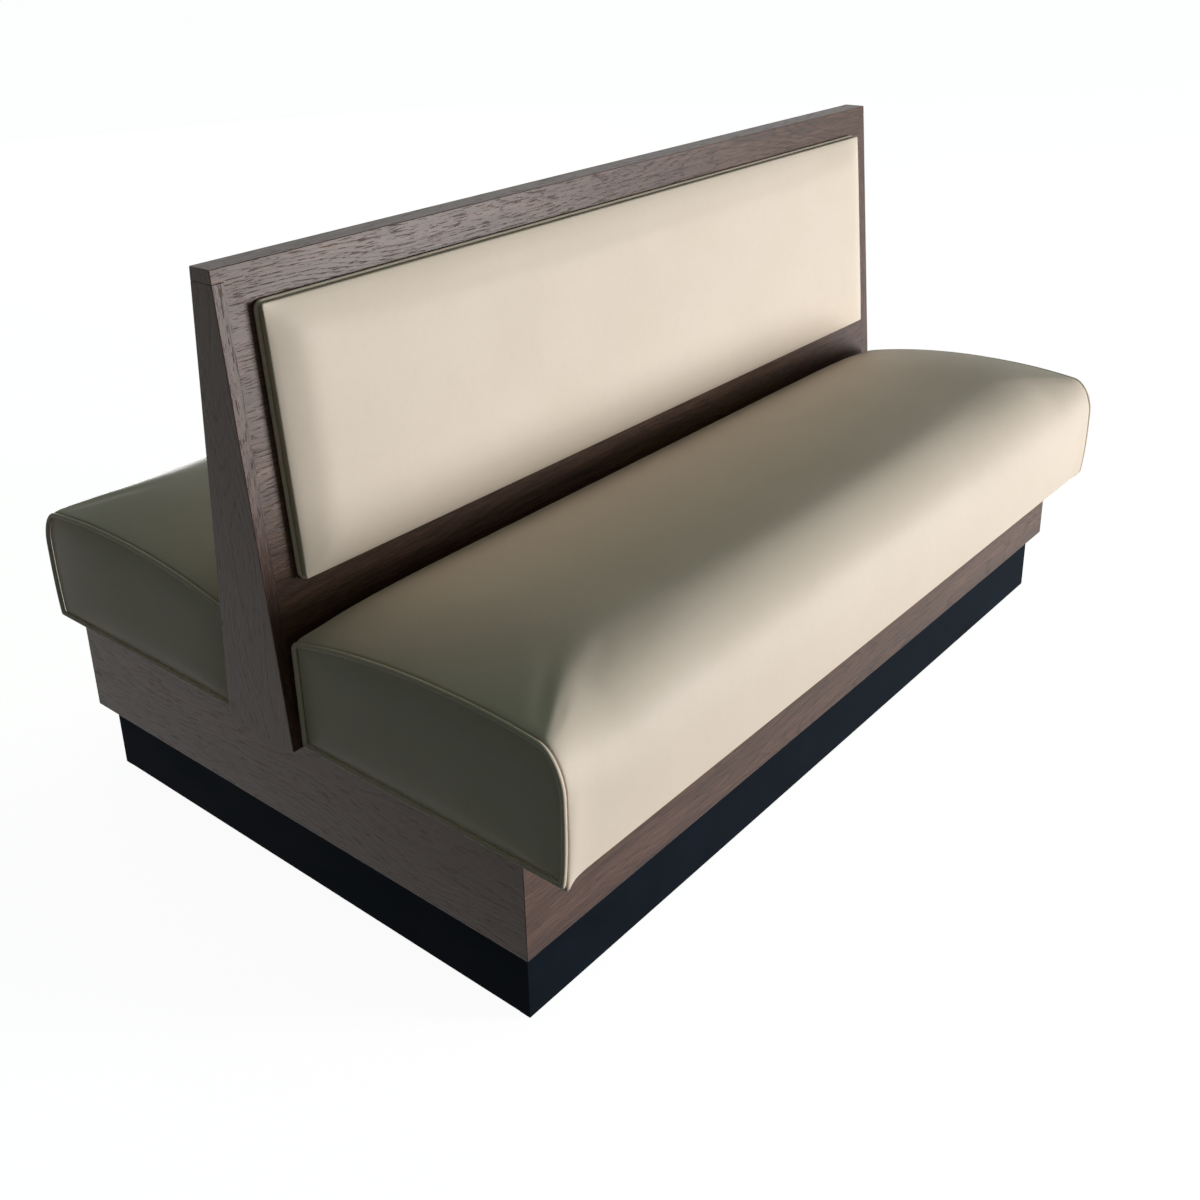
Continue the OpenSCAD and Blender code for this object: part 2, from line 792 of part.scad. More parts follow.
module pad_buttons() {
    color(plastic_colour)
        for (half = [0, 1])
            rotate([0, 0, 180 * half])
                on_front_slope() {
                    pad_button_row(button_d, button_tail, pad_board_top_v - button_head_t);
                    pad_button_heads(button_head_d, 0);
                }
}

module pad_piping() {
    color(vinyl_colour)
        on_front_slope() piping_loop(pad_ring(piping_set_in, pad_piping_v), [0, 1, 0]);
}

plinth_long_board();  // plinth_front_board
to_rear() plinth_long_board();  // plinth_rear_board
plinth_end_board();  // plinth_left_board
to_rear() plinth_end_board();  // plinth_right_board
plinth_bearer(-1);  // plinth_left_bearer
plinth_bearer(1);  // plinth_right_bearer
foot_block(-1, -1);  // front_left_foot_block
foot_block(1, -1);  // front_right_foot_block
foot_block(-1, 1);  // rear_left_foot_block
foot_block(1, 1);  // rear_right_foot_block
levelling_foot(-1, -1);  // front_left_foot
levelling_foot(1, -1);  // front_right_foot
levelling_foot(-1, 1);  // rear_left_foot
levelling_foot(1, 1);  // rear_right_foot
foot_inserts();
base_long_board();  // base_front_board
to_rear() base_long_board();  // base_rear_board
base_end_board();  // base_left_board
to_rear() base_end_board();  // base_right_board
base_rib(-1);  // base_left_rib
base_rib(1);  // base_right_rib
base_edge_plank();  // base_front_plank
base_centre_plank();
to_rear() base_edge_plank();  // base_rear_plank
base_sill();  // base_front_sill
to_rear() base_sill();  // base_rear_sill
gable(-1);  // left_gable
gable(1);  // right_gable
top_cap();
back_panel();  // front_back_panel
to_rear() back_panel();  // rear_back_panel
back_top_rail();
back_sole_plate();
back_stud(-1);  // back_left_stud
back_stud(0);  // back_middle_stud
back_stud(1);  // back_right_stud
back_dowels();
back_bolts();
back_tee_nuts();
seat_board();  // front_seat_board
seat_foam();  // front_seat_foam
seat_cover();  // front_seat_cover
seat_piping(-1);  // front_seat_left_piping
seat_piping(1);  // front_seat_right_piping
to_rear() seat_board();  // rear_seat_board
to_rear() seat_foam();  // rear_seat_foam
to_rear() seat_cover();  // rear_seat_cover
to_rear() seat_piping(1);  // rear_seat_left_piping
to_rear() seat_piping(-1);  // rear_seat_right_piping
seat_screws();
pad_board();  // front_pad_board
pad_foam();  // front_pad_foam
pad_cover();  // front_pad_cover
pad_piping();  // front_pad_piping
to_rear() pad_board();  // rear_pad_board
to_rear() pad_foam();  // rear_pad_foam
to_rear() pad_cover();  // rear_pad_cover
to_rear() pad_piping();  // rear_pad_piping
pad_buttons();
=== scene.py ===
"""Double-sided upholstered banquette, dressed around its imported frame.

Lengths are in metres. The front seat faces -Y, the rear seat +Y, and the bench runs along X.
"""

import json
import logging
from dataclasses import dataclass, field
from enum import Enum
from math import atan, copysign, cos, dist, hypot, pi, radians, sin, sqrt, tanh, tau
from typing import Callable, Iterable, Sequence, Union

import bmesh
import bpy
from mathutils import Matrix, Vector


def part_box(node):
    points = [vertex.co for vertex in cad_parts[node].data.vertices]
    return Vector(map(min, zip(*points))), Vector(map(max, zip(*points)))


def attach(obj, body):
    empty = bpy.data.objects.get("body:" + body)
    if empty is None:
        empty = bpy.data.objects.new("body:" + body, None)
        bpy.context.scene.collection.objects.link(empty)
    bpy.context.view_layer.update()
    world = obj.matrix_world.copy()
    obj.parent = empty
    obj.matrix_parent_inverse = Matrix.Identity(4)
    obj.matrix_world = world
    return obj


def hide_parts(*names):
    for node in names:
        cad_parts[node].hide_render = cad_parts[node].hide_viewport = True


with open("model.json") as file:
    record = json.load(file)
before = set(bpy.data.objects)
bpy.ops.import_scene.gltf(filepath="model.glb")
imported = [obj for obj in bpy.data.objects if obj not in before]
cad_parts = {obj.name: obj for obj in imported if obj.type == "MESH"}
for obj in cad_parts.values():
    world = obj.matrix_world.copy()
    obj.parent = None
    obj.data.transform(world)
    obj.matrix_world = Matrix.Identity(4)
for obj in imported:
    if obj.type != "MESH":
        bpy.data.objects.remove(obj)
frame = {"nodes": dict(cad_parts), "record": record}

log = logging.getLogger("banquette")

Colour = tuple[float, float, float, float]
Point = tuple[float, float, float]
Pair = tuple[float, float]
Spot = tuple[int, int]
Stops = Sequence[tuple[float, Colour]]
Piece = bpy.types.Object
Node = bpy.types.Node
Socket = bpy.types.NodeSocket
BENCH = "bench"
# Share of an edge's direction from which it counts as running along an axis
LENGTHWISE = 0.9
# Angle between two faces, in degrees, from which their edge counts as sharp
SHARP = 20


class Axis(Enum):
    """Direction of grain or of thickness."""

    X = 0
    Y = 1
    Z = 2


def srgb(red: float, green: float, blue: float) -> Colour:
    """A display colour, 0 to 255 a channel, as linear light.

    Args:
        red: red channel.
        green: green channel.
        blue: blue channel.

    Returns:
        The colour with an alpha of 1.
    """
    def linear(value: float) -> float:
        """One channel as linear light."""
        share = value / 255
        return share / 12.92 if share <= 0.04045 else ((share + 0.055) / 1.055) ** 2.4

    return (linear(red), linear(green), linear(blue), 1.0)


def behind(name: str) -> str:
    """Name of the piece or node that lies half a turn round the bench from the one named."""
    other = {"front": "rear", "left": "right", "right": "left"}
    return "_".join(other.get(word, word) for word in name.split("_"))


def arc(centre: Pair, radius: float, turns: Iterable[float]) -> list[Pair]:
    """Points round a centre, one for each turn in degrees.

    Args:
        centre: the middle.
        radius: distance from the middle.
        turns: angles in degrees.

    Returns:
        The points, in the order of the turns.
    """
    angles = [radians(turn) for turn in turns]
    return [(centre[0] + radius * cos(angle), centre[1] + radius * sin(angle))
            for angle in angles]


def band(first: Sequence[int], second: Sequence[int]) -> list[tuple[int, ...]]:
    """Faces between two closed rings of point numbers.

    Args:
        first: point numbers of one ring.
        second: as many of the next ring.

    Returns:
        A four-sided face for each step round the rings.
    """
    count = len(first)
    return [(first[step], first[(step + 1) % count], second[(step + 1) % count], second[step])
            for step in range(count)]


class Value:
    """A number on a node socket, used in Python arithmetic."""

    def __init__(self, sheet: "Sheet", socket: Socket) -> None:
        """Keeps the sheet and the socket."""
        self.sheet = sheet
        self.socket = socket

    def _math(self, operation: str, first: "Number", second: "Number" = 0.0) -> "Value":
        """Adds one Math node and returns its result."""
        node = self.sheet.add("ShaderNodeMath", {"operation": operation}, {0: first, 1: second})
        return Value(self.sheet, node.outputs[0])

    def __add__(self, other: "Number") -> "Value":
        """Sum."""
        return self._math("ADD", self, other)

    __radd__ = __add__

    def __sub__(self, other: "Number") -> "Value":
        """Difference."""
        return self._math("SUBTRACT", self, other)

    def __rsub__(self, other: "Number") -> "Value":
        """Difference, the other way round."""
        return self._math("SUBTRACT", other, self)

    def __mul__(self, other: "Number") -> "Value":
        """Product."""
        return self._math("MULTIPLY", self, other)

    __rmul__ = __mul__

    def __truediv__(self, other: "Number") -> "Value":
        """Quotient."""
        return self._math("DIVIDE", self, other)

    def __pow__(self, other: "Number") -> "Value":
        """Power."""
        return self._math("POWER", self, other)

    def fraction(self) -> "Value":
        """The part after the decimal point."""
        return self._math("FRACT", self)

    def above(self, low: float, high: float) -> "Value":
        """0 up to low, 1 from high on, and smooth between them.

        Args:
            low: value that gives 0.
            high: value that gives 1.

        Returns:
            The smooth step.
        """
        node = self.sheet.add("ShaderNodeMapRange", {"interpolation_type": "SMOOTHSTEP"},
                              {"Value": self, "From Min": low, "From Max": high})
        return Value(self.sheet, node.outputs["Result"])


Number = Union[float, Value]


class Sheet:
    """The node tree of one finish."""

    def __init__(self, tree: bpy.types.NodeTree) -> None:
        """Empties the tree."""
        self.tree = tree
        self.tree.nodes.clear()

    def add(self, kind: str, settings: dict | None = None, sockets: dict | None = None) -> Node:
        """Adds a node.

        Args:
            kind: type of the node.
            settings: attributes of the node, and the stops of a ramp under "stops".
            sockets: value, Value or socket for each input, by name or number.

        Returns:
            The node.
        """
        node = self.tree.nodes.new(kind)
        for name, setting in (settings or {}).items():
            if name == "stops":
                self._ramp(node, setting)
            else:
                setattr(node, name, setting)
        for key, value in (sockets or {}).items():
            socket = value.socket if isinstance(value, Value) else value
            if isinstance(socket, Socket):
                self.tree.links.new(socket, node.inputs[key])
            else:
                node.inputs[key].default_value = socket
        return node

    def _ramp(self, node: Node, stops: Stops) -> None:
        """Sets the stops of a colour ramp.

        Args:
            node: the ramp's node.
            stops: its stops.
        """
        elements = node.color_ramp.elements
        while len(elements) < len(stops):
            elements.new(1.0)
        for element, (place, colour) in zip(elements, stops):
            element.position = place
            element.color = colour

    def place(self, stretch: Point = (1, 1, 1), shift: Point = (0, 0, 0)) -> Socket:
        """Object coordinates, stretched and then shifted.

        Args:
            stretch: factor along each axis.
            shift: move along each axis.

        Returns:
            The socket of the coordinates.
        """
        coords = self.add("ShaderNodeTexCoord").outputs["Object"]
        return self.add("ShaderNodeMapping", {}, {
            "Vector": coords, "Scale": stretch, "Location": shift}).outputs[0]

    def along(self, axis: Axis) -> Value:
        """Object coordinate along one axis."""
        split = self.add("ShaderNodeSeparateXYZ", {}, {0: self.place()})
        return Value(self, split.outputs[axis.value])

    def noise(self, stretch: Point, detail: float = 2.0, roughness: float = 0.5,
              distortion: float = 0.0, shift: Point = (0, 0, 0)) -> Value:
        """Noise between about 0 and 1.

        Args:
            stretch: cells per metre along each axis.
            detail: number of finer layers.
            roughness: weight of the finer layers.
            distortion: swirl of the pattern.
            shift: move of the pattern, in cells.

        Returns:
            The noise's value.
        """
        node = self.add("ShaderNodeTexNoise", {}, {
            "Vector": self.place(stretch, shift), "Scale": 1.0, "Detail": detail,
            "Roughness": roughness, "Distortion": distortion})
        return Value(self, node.outputs[0])

    def cells(self, stretch: Point, smoothness: float = 0.3) -> Value:
        """Distance from the middles of smooth cells.

        Args:
            stretch: cells in a metre, along each axis.
            smoothness: how far the cells run into each other.

        Returns:
            The distance, as a value.
        """
        node = self.add("ShaderNodeTexVoronoi", {"feature": "SMOOTH_F1"}, {
            "Vector": self.place(stretch), "Scale": 1.0, "Smoothness": smoothness})
        return Value(self, node.outputs["Distance"])

    def ramp(self, factor: Value, stops: Stops) -> Socket:
        """A colour picked from stops by a factor."""
        return self.add("ShaderNodeValToRGB", {"stops": stops}, {0: factor}).outputs[0]

    def mix(self, factor: Number, first: object, second: object, blend: str = "MIX") -> Socket:
        """Two colours mixed by a factor."""
        return self.add("ShaderNodeMix", {"data_type": "RGBA", "blend_type": blend},
                        {0: factor, 6: first, 7: second}).outputs[2]

    def bump(self, height: Value, distance: float, strength: float = 1.0) -> Socket:
        """A normal bent by a height, 0 to 1, over a distance in metres."""
        return self.add("ShaderNodeBump", {}, {
            "Height": height, "Distance": distance, "Strength": strength}).outputs[0]

    def surface(self, **sockets: object) -> None:
        """Ends the tree in a Principled shader with the sockets given.

        Args:
            sockets: a value or link for each named socket.
        """
        inputs = {name.replace("_", " "): value for name, value in sockets.items()}
        shader = self.add("ShaderNodeBsdfPrincipled", {}, inputs)
        self.add("ShaderNodeOutputMaterial", {}, {"Surface": shader.outputs[0]})


@dataclass(frozen=True)
class Finish:
    """A finish that makes its own material."""

    name: str
    slot: str

    def material(self) -> bpy.types.Material:
        """The finish's material, made once.

        Returns:
            The material, the same one at each call.
        """
        ready = bpy.data.materials.get(self.name)
        if ready is not None:
            return ready
        made = bpy.data.materials.new(self.name)
        made.use_nodes = True
        self.draw(Sheet(made.node_tree))
        return made

    def draw(self, sheet: Sheet) -> None:
        """Fills the node tree."""
        raise NotImplementedError

    def dress(self, piece: Piece) -> None:
        """Puts the finish on a piece in place of any other."""
        piece.data.materials.clear()
        piece.data.materials.append(self.material())


@dataclass(frozen=True)
class GrainedFinish(Finish):
    """A finish with a direction."""

    axis: Axis

    def stretch(self, along: float, across: float) -> Point:
        """Cells per metre along the axis and across it."""
        return tuple(along if place == self.axis.value else across for place in range(3))


@dataclass(frozen=True)
class OakVeneer(GrainedFinish):
    """Brown-stained oak veneer under a satin lacquer."""

    dark: Colour = srgb(35, 24, 19)
    middle: Colour = srgb(75, 53, 43)
    light: Colour = srgb(114, 88, 75)
    pore: Colour = srgb(34, 23, 18)
    mauve: Colour = srgb(255, 247, 252)
    olive: Colour = srgb(252, 242, 229)
    rings_per_metre: float = 45
    flame_rings: float = 34

    def draw(self, sheet: Sheet) -> None:
        """Growth rings in long flames, each with its open pores, and a slow change of tint.

        Args:
            sheet: the material's node sheet to draw on.
        """
        across = [sheet.along(axis) for axis in Axis if axis is not self.axis]
        flame = sheet.noise(self.stretch(1.2, 6.5))
        waver = sheet.noise(self.stretch(9.0, 70.0))
        depth = (across[0] + across[1]) * self.rings_per_metre
        ring = (depth + flame * self.flame_rings + waver * 0.6).fraction()
        early = ring.above(0.50, 0.86) - ring.above(0.94, 1.0)
        fibre = sheet.noise(self.stretch(30.0, 600.0), 2.0, 0.6, 0.6)
        fleck = sheet.noise(self.stretch(9.0, 250.0), 3.0, 0.70, 0.5)
        band = sheet.noise(self.stretch(1.6, 30.0))
        tone = fibre * 0.40 + fleck * 0.62 + band * 0.34 - early * 0.05 - 0.19
        wood = sheet.ramp(tone, [(0.22, self.dark), (0.47, self.middle), (0.74, self.light)])
        tint = sheet.noise(self.stretch(1.1, 5.0), 1.0, 0.5, shift=(7.3, 2.1, 5.9))
        veil = sheet.mix(tint.above(0.35, 0.65), self.mauve, self.olive)
        wood = sheet.mix(1.0, wood, veil, "MULTIPLY")
        dashes = sheet.noise(self.stretch(45.0, 650.0), 1.0, 0.5, 0.4)
        pores = (dashes + early * 0.10).above(0.61, 0.72)
        wood = sheet.mix(pores * 0.38, wood, self.pore)
        height = fibre * 0.30 - pores * 0.60 - early * 0.50
        sheet.surface(
            Base_Color=wood, Roughness=0.31 + fibre * 0.12 + pores * 0.18,
            Specular_IOR_Level=0.20, Normal=sheet.bump(height, 0.00017, 0.8))


@dataclass(frozen=True)
class PlinthLaminate(Finish):
    """Near-black laminate, matte with a slight mottle."""

    dark: Colour = srgb(13, 18, 25)
    light: Colour = srgb(20, 27, 36)

    def draw(self, sheet: Sheet) -> None:
        """A cloudy mottle over a fine orange-peel surface.

        Args:
            sheet: the material's node sheet to draw on.
        """
        cloud = sheet.noise((9, 9, 14), 4.0, 0.6)
        peel = sheet.noise((900, 900, 900))
        scuff = sheet.noise((3, 3, 60), 3.0, 0.7).above(0.60, 0.80)
        sheet.surface(
            Base_Color=sheet.ramp(cloud, [(0.30, self.dark), (0.72, self.light)]),
            Roughness=0.58 + cloud * 0.14 - scuff * 0.06, Specular_IOR_Level=0.015,
            Normal=sheet.bump(peel, 0.00008, 0.5))


@dataclass(frozen=True)
class CreamVinyl(Finish):
    """Cream upholstery vinyl with a fine pebble grain."""

    base: Colour = srgb(222, 206, 191)
    shade: Colour = srgb(214, 198, 181)

    def draw(self, sheet: Sheet) -> None:
        """Pebbles, fine creases between them, and faint clouds of colour and sheen.

        Args:
            sheet: the material's node sheet to draw on.
        """
        pebble = sheet.cells((620, 620, 620), 0.5)
        crease = sheet.noise((260, 260, 260), 3.0, 0.6)
        cloud = sheet.noise((7, 7, 7), 3.0, 0.55)
        mottle = sheet.noise((90, 90, 90))
        shade = cloud.above(0.25, 0.75) * 0.40 + mottle.above(0.40, 0.80) * 0.20
        height = pebble * 0.6 + crease * 0.4
        sheet.surface(
            Base_Color=sheet.mix(shade, self.base, self.shade),
            Roughness=0.46 + cloud * 0.08 + crease * 0.06, Specular_IOR_Level=0.16,
            Normal=sheet.bump(height, 0.00016, 0.45))


@dataclass(frozen=True)
class Plywood(GrainedFinish):
    """Bare birch plywood: axis is the direction of its thickness."""

    ply: float = 0.0015
    pale: Colour = srgb(222, 198, 158)
    brown: Colour = srgb(180, 146, 104)

    def draw(self, sheet: Sheet) -> None:
        """Plies that alternate through the thickness, with grain in each.

        Args:
            sheet: the material's node sheet to draw on.
        """
        layer = (sheet.along(self.axis) / (2 * self.ply) + 0.25).fraction()
        other = layer.above(0.46, 0.54) - layer.above(0.96, 1.0)
        fibre = sheet.noise((14, 420, 420), 3.0, 0.6)
        cross = sheet.noise((420, 14, 420), 3.0, 0.6)
        tone = other * 0.55 + fibre * (1 - other) * 0.5 + cross * other * 0.5
        sheet.surface(
            Base_Color=sheet.ramp(tone, [(0.10, self.pale), (0.85, self.brown)]),
            Roughness=0.66 + fibre * 0.15, Specular_IOR_Level=0.3,
            Normal=sheet.bump(fibre + cross, 0.00015, 0.4))


@dataclass(frozen=True)
class Pine(GrainedFinish):
    """Bare planed softwood with growth rings."""

    early: Colour = srgb(232, 204, 156)
    late: Colour = srgb(190, 140, 84)
    rings: float = 9
    late_rise: float = 2.2

    def draw(self, sheet: Sheet) -> None:
        """Soft early wood that darkens into late wood, ring by ring.

        Args:
            sheet: the material's node sheet to draw on.
        """
        bend = sheet.noise(self.stretch(1.5, 16.0), 1.0, 0.4)
        ring = (bend * self.rings).fraction()
        fibre = sheet.noise(self.stretch(9.0, 500.0))
        tone = ring ** self.late_rise * 0.75 + fibre * 0.25
        sheet.surface(
            Base_Color=sheet.ramp(tone, [(0.05, self.early), (0.90, self.late)]),
            Roughness=0.62 + fibre * 0.12, Specular_IOR_Level=0.3,
            Normal=sheet.bump(fibre, 0.00012, 0.4))


@dataclass(frozen=True)
class ZincSteel(Finish):
    """Zinc-plated steel."""

    bright: Colour = srgb(196, 199, 204)
    dull: Colour = srgb(150, 152, 150)

    def draw(self, sheet: Sheet) -> None:
        """Cloudy plating with fine scratches.

        Args:
            sheet: the material's node sheet to draw on.
        """
        cloud = sheet.noise((140, 140, 140), 3.0, 0.6)
        scratch = sheet.noise((90, 2400, 900), 1.0, 0.5)
        sheet.surface(
            Base_Color=sheet.ramp(cloud, [(0.25, self.dull), (0.70, self.bright)]),
            Metallic=1.0, Roughness=0.28 + cloud * 0.20,
            Normal=sheet.bump(scratch, 0.00003, 0.3))


@dataclass(frozen=True)
class BlackNylon(Finish):
    """Moulded black nylon."""

    base: Colour = srgb(30, 30, 32)
    haze: Colour = srgb(52, 52, 54)

    def draw(self, sheet: Sheet) -> None:
        """A spark-eroded texture with a faint haze.

        Args:
            sheet: the material's node sheet to draw on.
        """
        grain = sheet.noise((1800, 1800, 1800), 2.0, 0.6)
        haze = sheet.noise((60, 60, 60))
        sheet.surface(
            Base_Color=sheet.mix(haze * 0.4, self.base, self.haze),
            Roughness=0.5 + grain * 0.15, Normal=sheet.bump(grain, 0.00005, 0.4))


OAK_X = OakVeneer("oak_along", "oak", Axis.X)
OAK_Y = OakVeneer("oak_across", "oak", Axis.Y)
OAK_Z = OakVeneer("oak_upright", "oak", Axis.Z)
LAMINATE = PlinthLaminate("plinth_laminate", "plinth")
VINYL = CreamVinyl("cream_vinyl", "vinyl")
ZINC = ZincSteel("zinc_steel", "steel")
NYLON = BlackNylon("black_nylon", "plastic")


def select_alone(piece: Piece) -> None:
    """Leaves one object selected and active.

    Args:
        piece: the object to select.
    """
    bpy.ops.object.select_all(action="DESELECT")
    piece.select_set(True)
    bpy.context.view_layer.objects.active = piece


def add_block(name: str, low: Vector, high: Vector) -> Piece:
    """Starts a board as a block between two corners.

    Args:
        name: name of the piece.
        low: its lowest corner.
        high: its highest corner.

    Returns:
        The block, with its object at the origin.
    """
    bpy.ops.object.select_all(action="DESELECT")
    bpy.ops.mesh.primitive_cube_add(size=1, location=(low + high) / 2, scale=high - low)
    piece = bpy.context.active_object
    piece.name = piece.data.name = name
    bpy.ops.object.transform_apply(location=True, rotation=True, scale=True)
    return piece


def saw(piece: Piece, through: Sequence[float], outward: Sequence[float]) -> None:
    """Saws off what lies on the outward side of a plane, and closes the cut.

    Args:
        piece: the piece to saw.
        through: a point on the plane.
        outward: the plane's normal, towards the waste.
    """
    select_alone(piece)
    bpy.ops.object.mode_set(mode="EDIT")
    bpy.ops.mesh.select_all(action="SELECT")
    bpy.ops.mesh.bisect(plane_co=through, plane_no=outward, use_fill=True, clear_outer=True)
    bpy.ops.object.mode_set(mode="OBJECT")


def ease_edges(piece: Piece, width: float, chosen: Callable[[Vector, Vector], bool],
               segments: int = 2) -> None:
    """Rounds the chosen edges and keeps the flats flat.

    Args:
        piece: the piece to ease.
        width: width of the rounding.
        chosen: tells from an edge's middle and direction whether it is rounded.
        segments: number of facets across the rounding.
    """
    select_alone(piece)
    bpy.ops.object.mode_set(mode="EDIT")
    bpy.ops.mesh.select_mode(type="EDGE")
    bpy.ops.mesh.select_all(action="DESELECT")
    work = bmesh.from_edit_mesh(piece.data)
    for edge in work.edges:
        first, second = (vert.co for vert in edge.verts)
        sharp = edge.calc_face_angle(0.0) > radians(SHARP)
        edge.select_set(sharp and chosen((first + second) / 2, (second - first).normalized()))
    bmesh.update_edit_mesh(piece.data)
    bpy.ops.mesh.bevel(offset=width, segments=segments, affect="EDGES")
    bpy.ops.object.mode_set(mode="OBJECT")
    bpy.ops.object.shade_smooth_by_angle(angle=radians(SHARP))


def make_skin(name: str, verts: Sequence[Vector], faces: Sequence[Sequence[int]]) -> Piece:
    """Makes a closed skin from its points, with its faces outward.

    Args:
        name: name of the piece.
        verts: the points.
        faces: point numbers of each face.

    Returns:
        The piece.
    """
    mesh = bpy.data.meshes.new(name)
    mesh.from_pydata([tuple(place) for place in verts], [], faces)
    work = bmesh.new()
    work.from_mesh(mesh)
    bmesh.ops.remove_doubles(work, verts=work.verts, dist=1e-6)
    bmesh.ops.recalc_face_normals(work, faces=work.faces)
    work.to_mesh(mesh)
    work.free()
    piece = bpy.data.objects.new(name, mesh)
    bpy.context.scene.collection.objects.link(piece)
    return piece


def refine(piece: Piece) -> None:
    """Subdivides a skin once and shades it smooth.

    Args:
        piece: the skin.
    """
    select_alone(piece)
    finer = piece.modifiers.new("Finer", "SUBSURF")
    finer.levels = 1
    finer.render_levels = 1
    bpy.ops.object.modifier_apply(modifier=finer.name)
    bpy.ops.object.shade_smooth()


def fit(piece: Piece, finish: Finish, *nodes: str) -> None:
    """Dresses a piece, sets it on the bench and lets it stand for its nodes.

    Args:
        piece: the finished piece.
        finish: its finish.
        nodes: the frame's nodes that it stands for.
    """
    finish.dress(piece)
    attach(piece, BENCH)
    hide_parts(*nodes)
    log.info("%s: %d faces, for %s", piece.name, len(piece.data.polygons), ", ".join(nodes))


def upholster(piece: Piece, *nodes: str) -> Piece:
    """Fits a front piece in vinyl, and its copy half a turn round the bench.

    Args:
        piece: the finished front piece.
        nodes: the frame's nodes that it stands for.

    Returns:
        The copy, with its own mesh.
    """
    twin = piece.copy()
    twin.data = piece.data.copy()
    twin.name = twin.data.name = behind(piece.name)
    twin.data.transform(Matrix.Rotation(pi, 4, "Z"))
    bpy.context.scene.collection.objects.link(twin)
    fit(piece, VINYL, *nodes)
    fit(twin, VINYL, *(behind(node) for node in nodes))
    return twin


@dataclass
class Plinth:
    """Four recessed boards in near-black laminate."""

    eased: float = 0.0008
    boards: tuple[str, ...] = ("front", "rear", "left", "right")

    def build(self) -> None:
        """Models each board at its node, its long edges eased and its upright ones left crisp."""
        for side in self.boards:
            node = f"plinth_{side}_board"
            board = add_block(f"plinth_{side}", *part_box(node))
            axis = Axis.X if side in ("front", "rear") else Axis.Y
            ease_edges(board, self.eased, lambda middle, run: abs(run[axis.value]) > LENGTHWISE)
            fit(board, LAMINATE, node)


@dataclass
class BaseBox:
    """Four show boards in oak veneer, mitred at the corners."""

    eased: float = 0.0009

    def build(self) -> None:
        """Models each board, saws its mitres and eases its long edges."""
        for side, sign, finish in (("front", -1, OAK_X), ("rear", 1, OAK_X),
                                   ("left", -1, OAK_Y), ("right", 1, OAK_Y)):
            node = f"base_{side}_board"
            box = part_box(node)
            board = add_block(f"base_{side}", *box)
            along = finish.axis.value
            facing = 1 - along
            for end in (-1, 1):
                corner, outward = [0.0] * 3, [0.0] * 3
                corner[along], corner[facing] = box[end > 0][along], box[sign > 0][facing]
                outward[along], outward[facing] = end, -sign
                saw(board, corner, outward)
            ease_edges(board, self.eased, lambda middle, run: abs(run[along]) > LENGTHWISE)
            fit(board, finish, node)


@dataclass
class Back:
    """The tapered back: a gable at each end and a cap along the top."""

    eased: float = 0.0010
    joint: float = 0.0011
    near: float = 0.001
    foot_half: float = field(default_factory=lambda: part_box("left_gable")[1].y)
    cap_half: float = field(default_factory=lambda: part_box("top_cap")[1].y)
    foot_z: float = field(default_factory=lambda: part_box("left_gable")[0].z)
    cap_z: float = field(default_factory=lambda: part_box("top_cap")[0].z)

    @property
    def tilt(self) -> float:
        """Lean of each face from upright, in radians."""
        return atan((self.foot_half - self.cap_half) / (self.cap_z - self.foot_z))

    def slope(self) -> Matrix:
        """The frame of the front face: Z up the slope, -Y off the panel, from the face's foot."""
        foot = Matrix.Translation((0, -self.foot_half, self.foot_z))
        return foot @ Matrix.Rotation(-self.tilt, 4, "X")

    def taper(self, board: Piece) -> None:
        """Saws both long sides to the back's taper.

        Args:
            board: a board that stands upright over the back's depth.
        """
        for sign in (-1, 1):
            saw(board, (0, sign * self.foot_half, self.foot_z),
                (0, sign * cos(self.tilt), sin(self.tilt)))

    def build(self) -> None:
        """Models the gables and the cap, which lies flush on the panels."""
        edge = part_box("right_gable")[1].x - self.near
        for side in ("left", "right"):
            node = f"{side}_gable"
            gable = add_block(f"gable_{side}", *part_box(node))
            self.taper(gable)
            outer = copysign(1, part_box(node)[0].x)
            ease_edges(gable, self.eased,
                       lambda middle, run: abs(run.z) > LENGTHWISE and middle.x * outer > edge)
            ease_edges(gable, self.joint, lambda middle, run: middle.z > self.cap_z - self.near, 1)
            fit(gable, OAK_Z, node)
        cap = add_block("back_cap", *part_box("top_cap"))
        self.taper(cap)
        ease_edges(cap, self.eased, lambda middle, run: middle.z > self.cap_z + 2 * self.near)
        fit(cap, OAK_X, "top_cap")


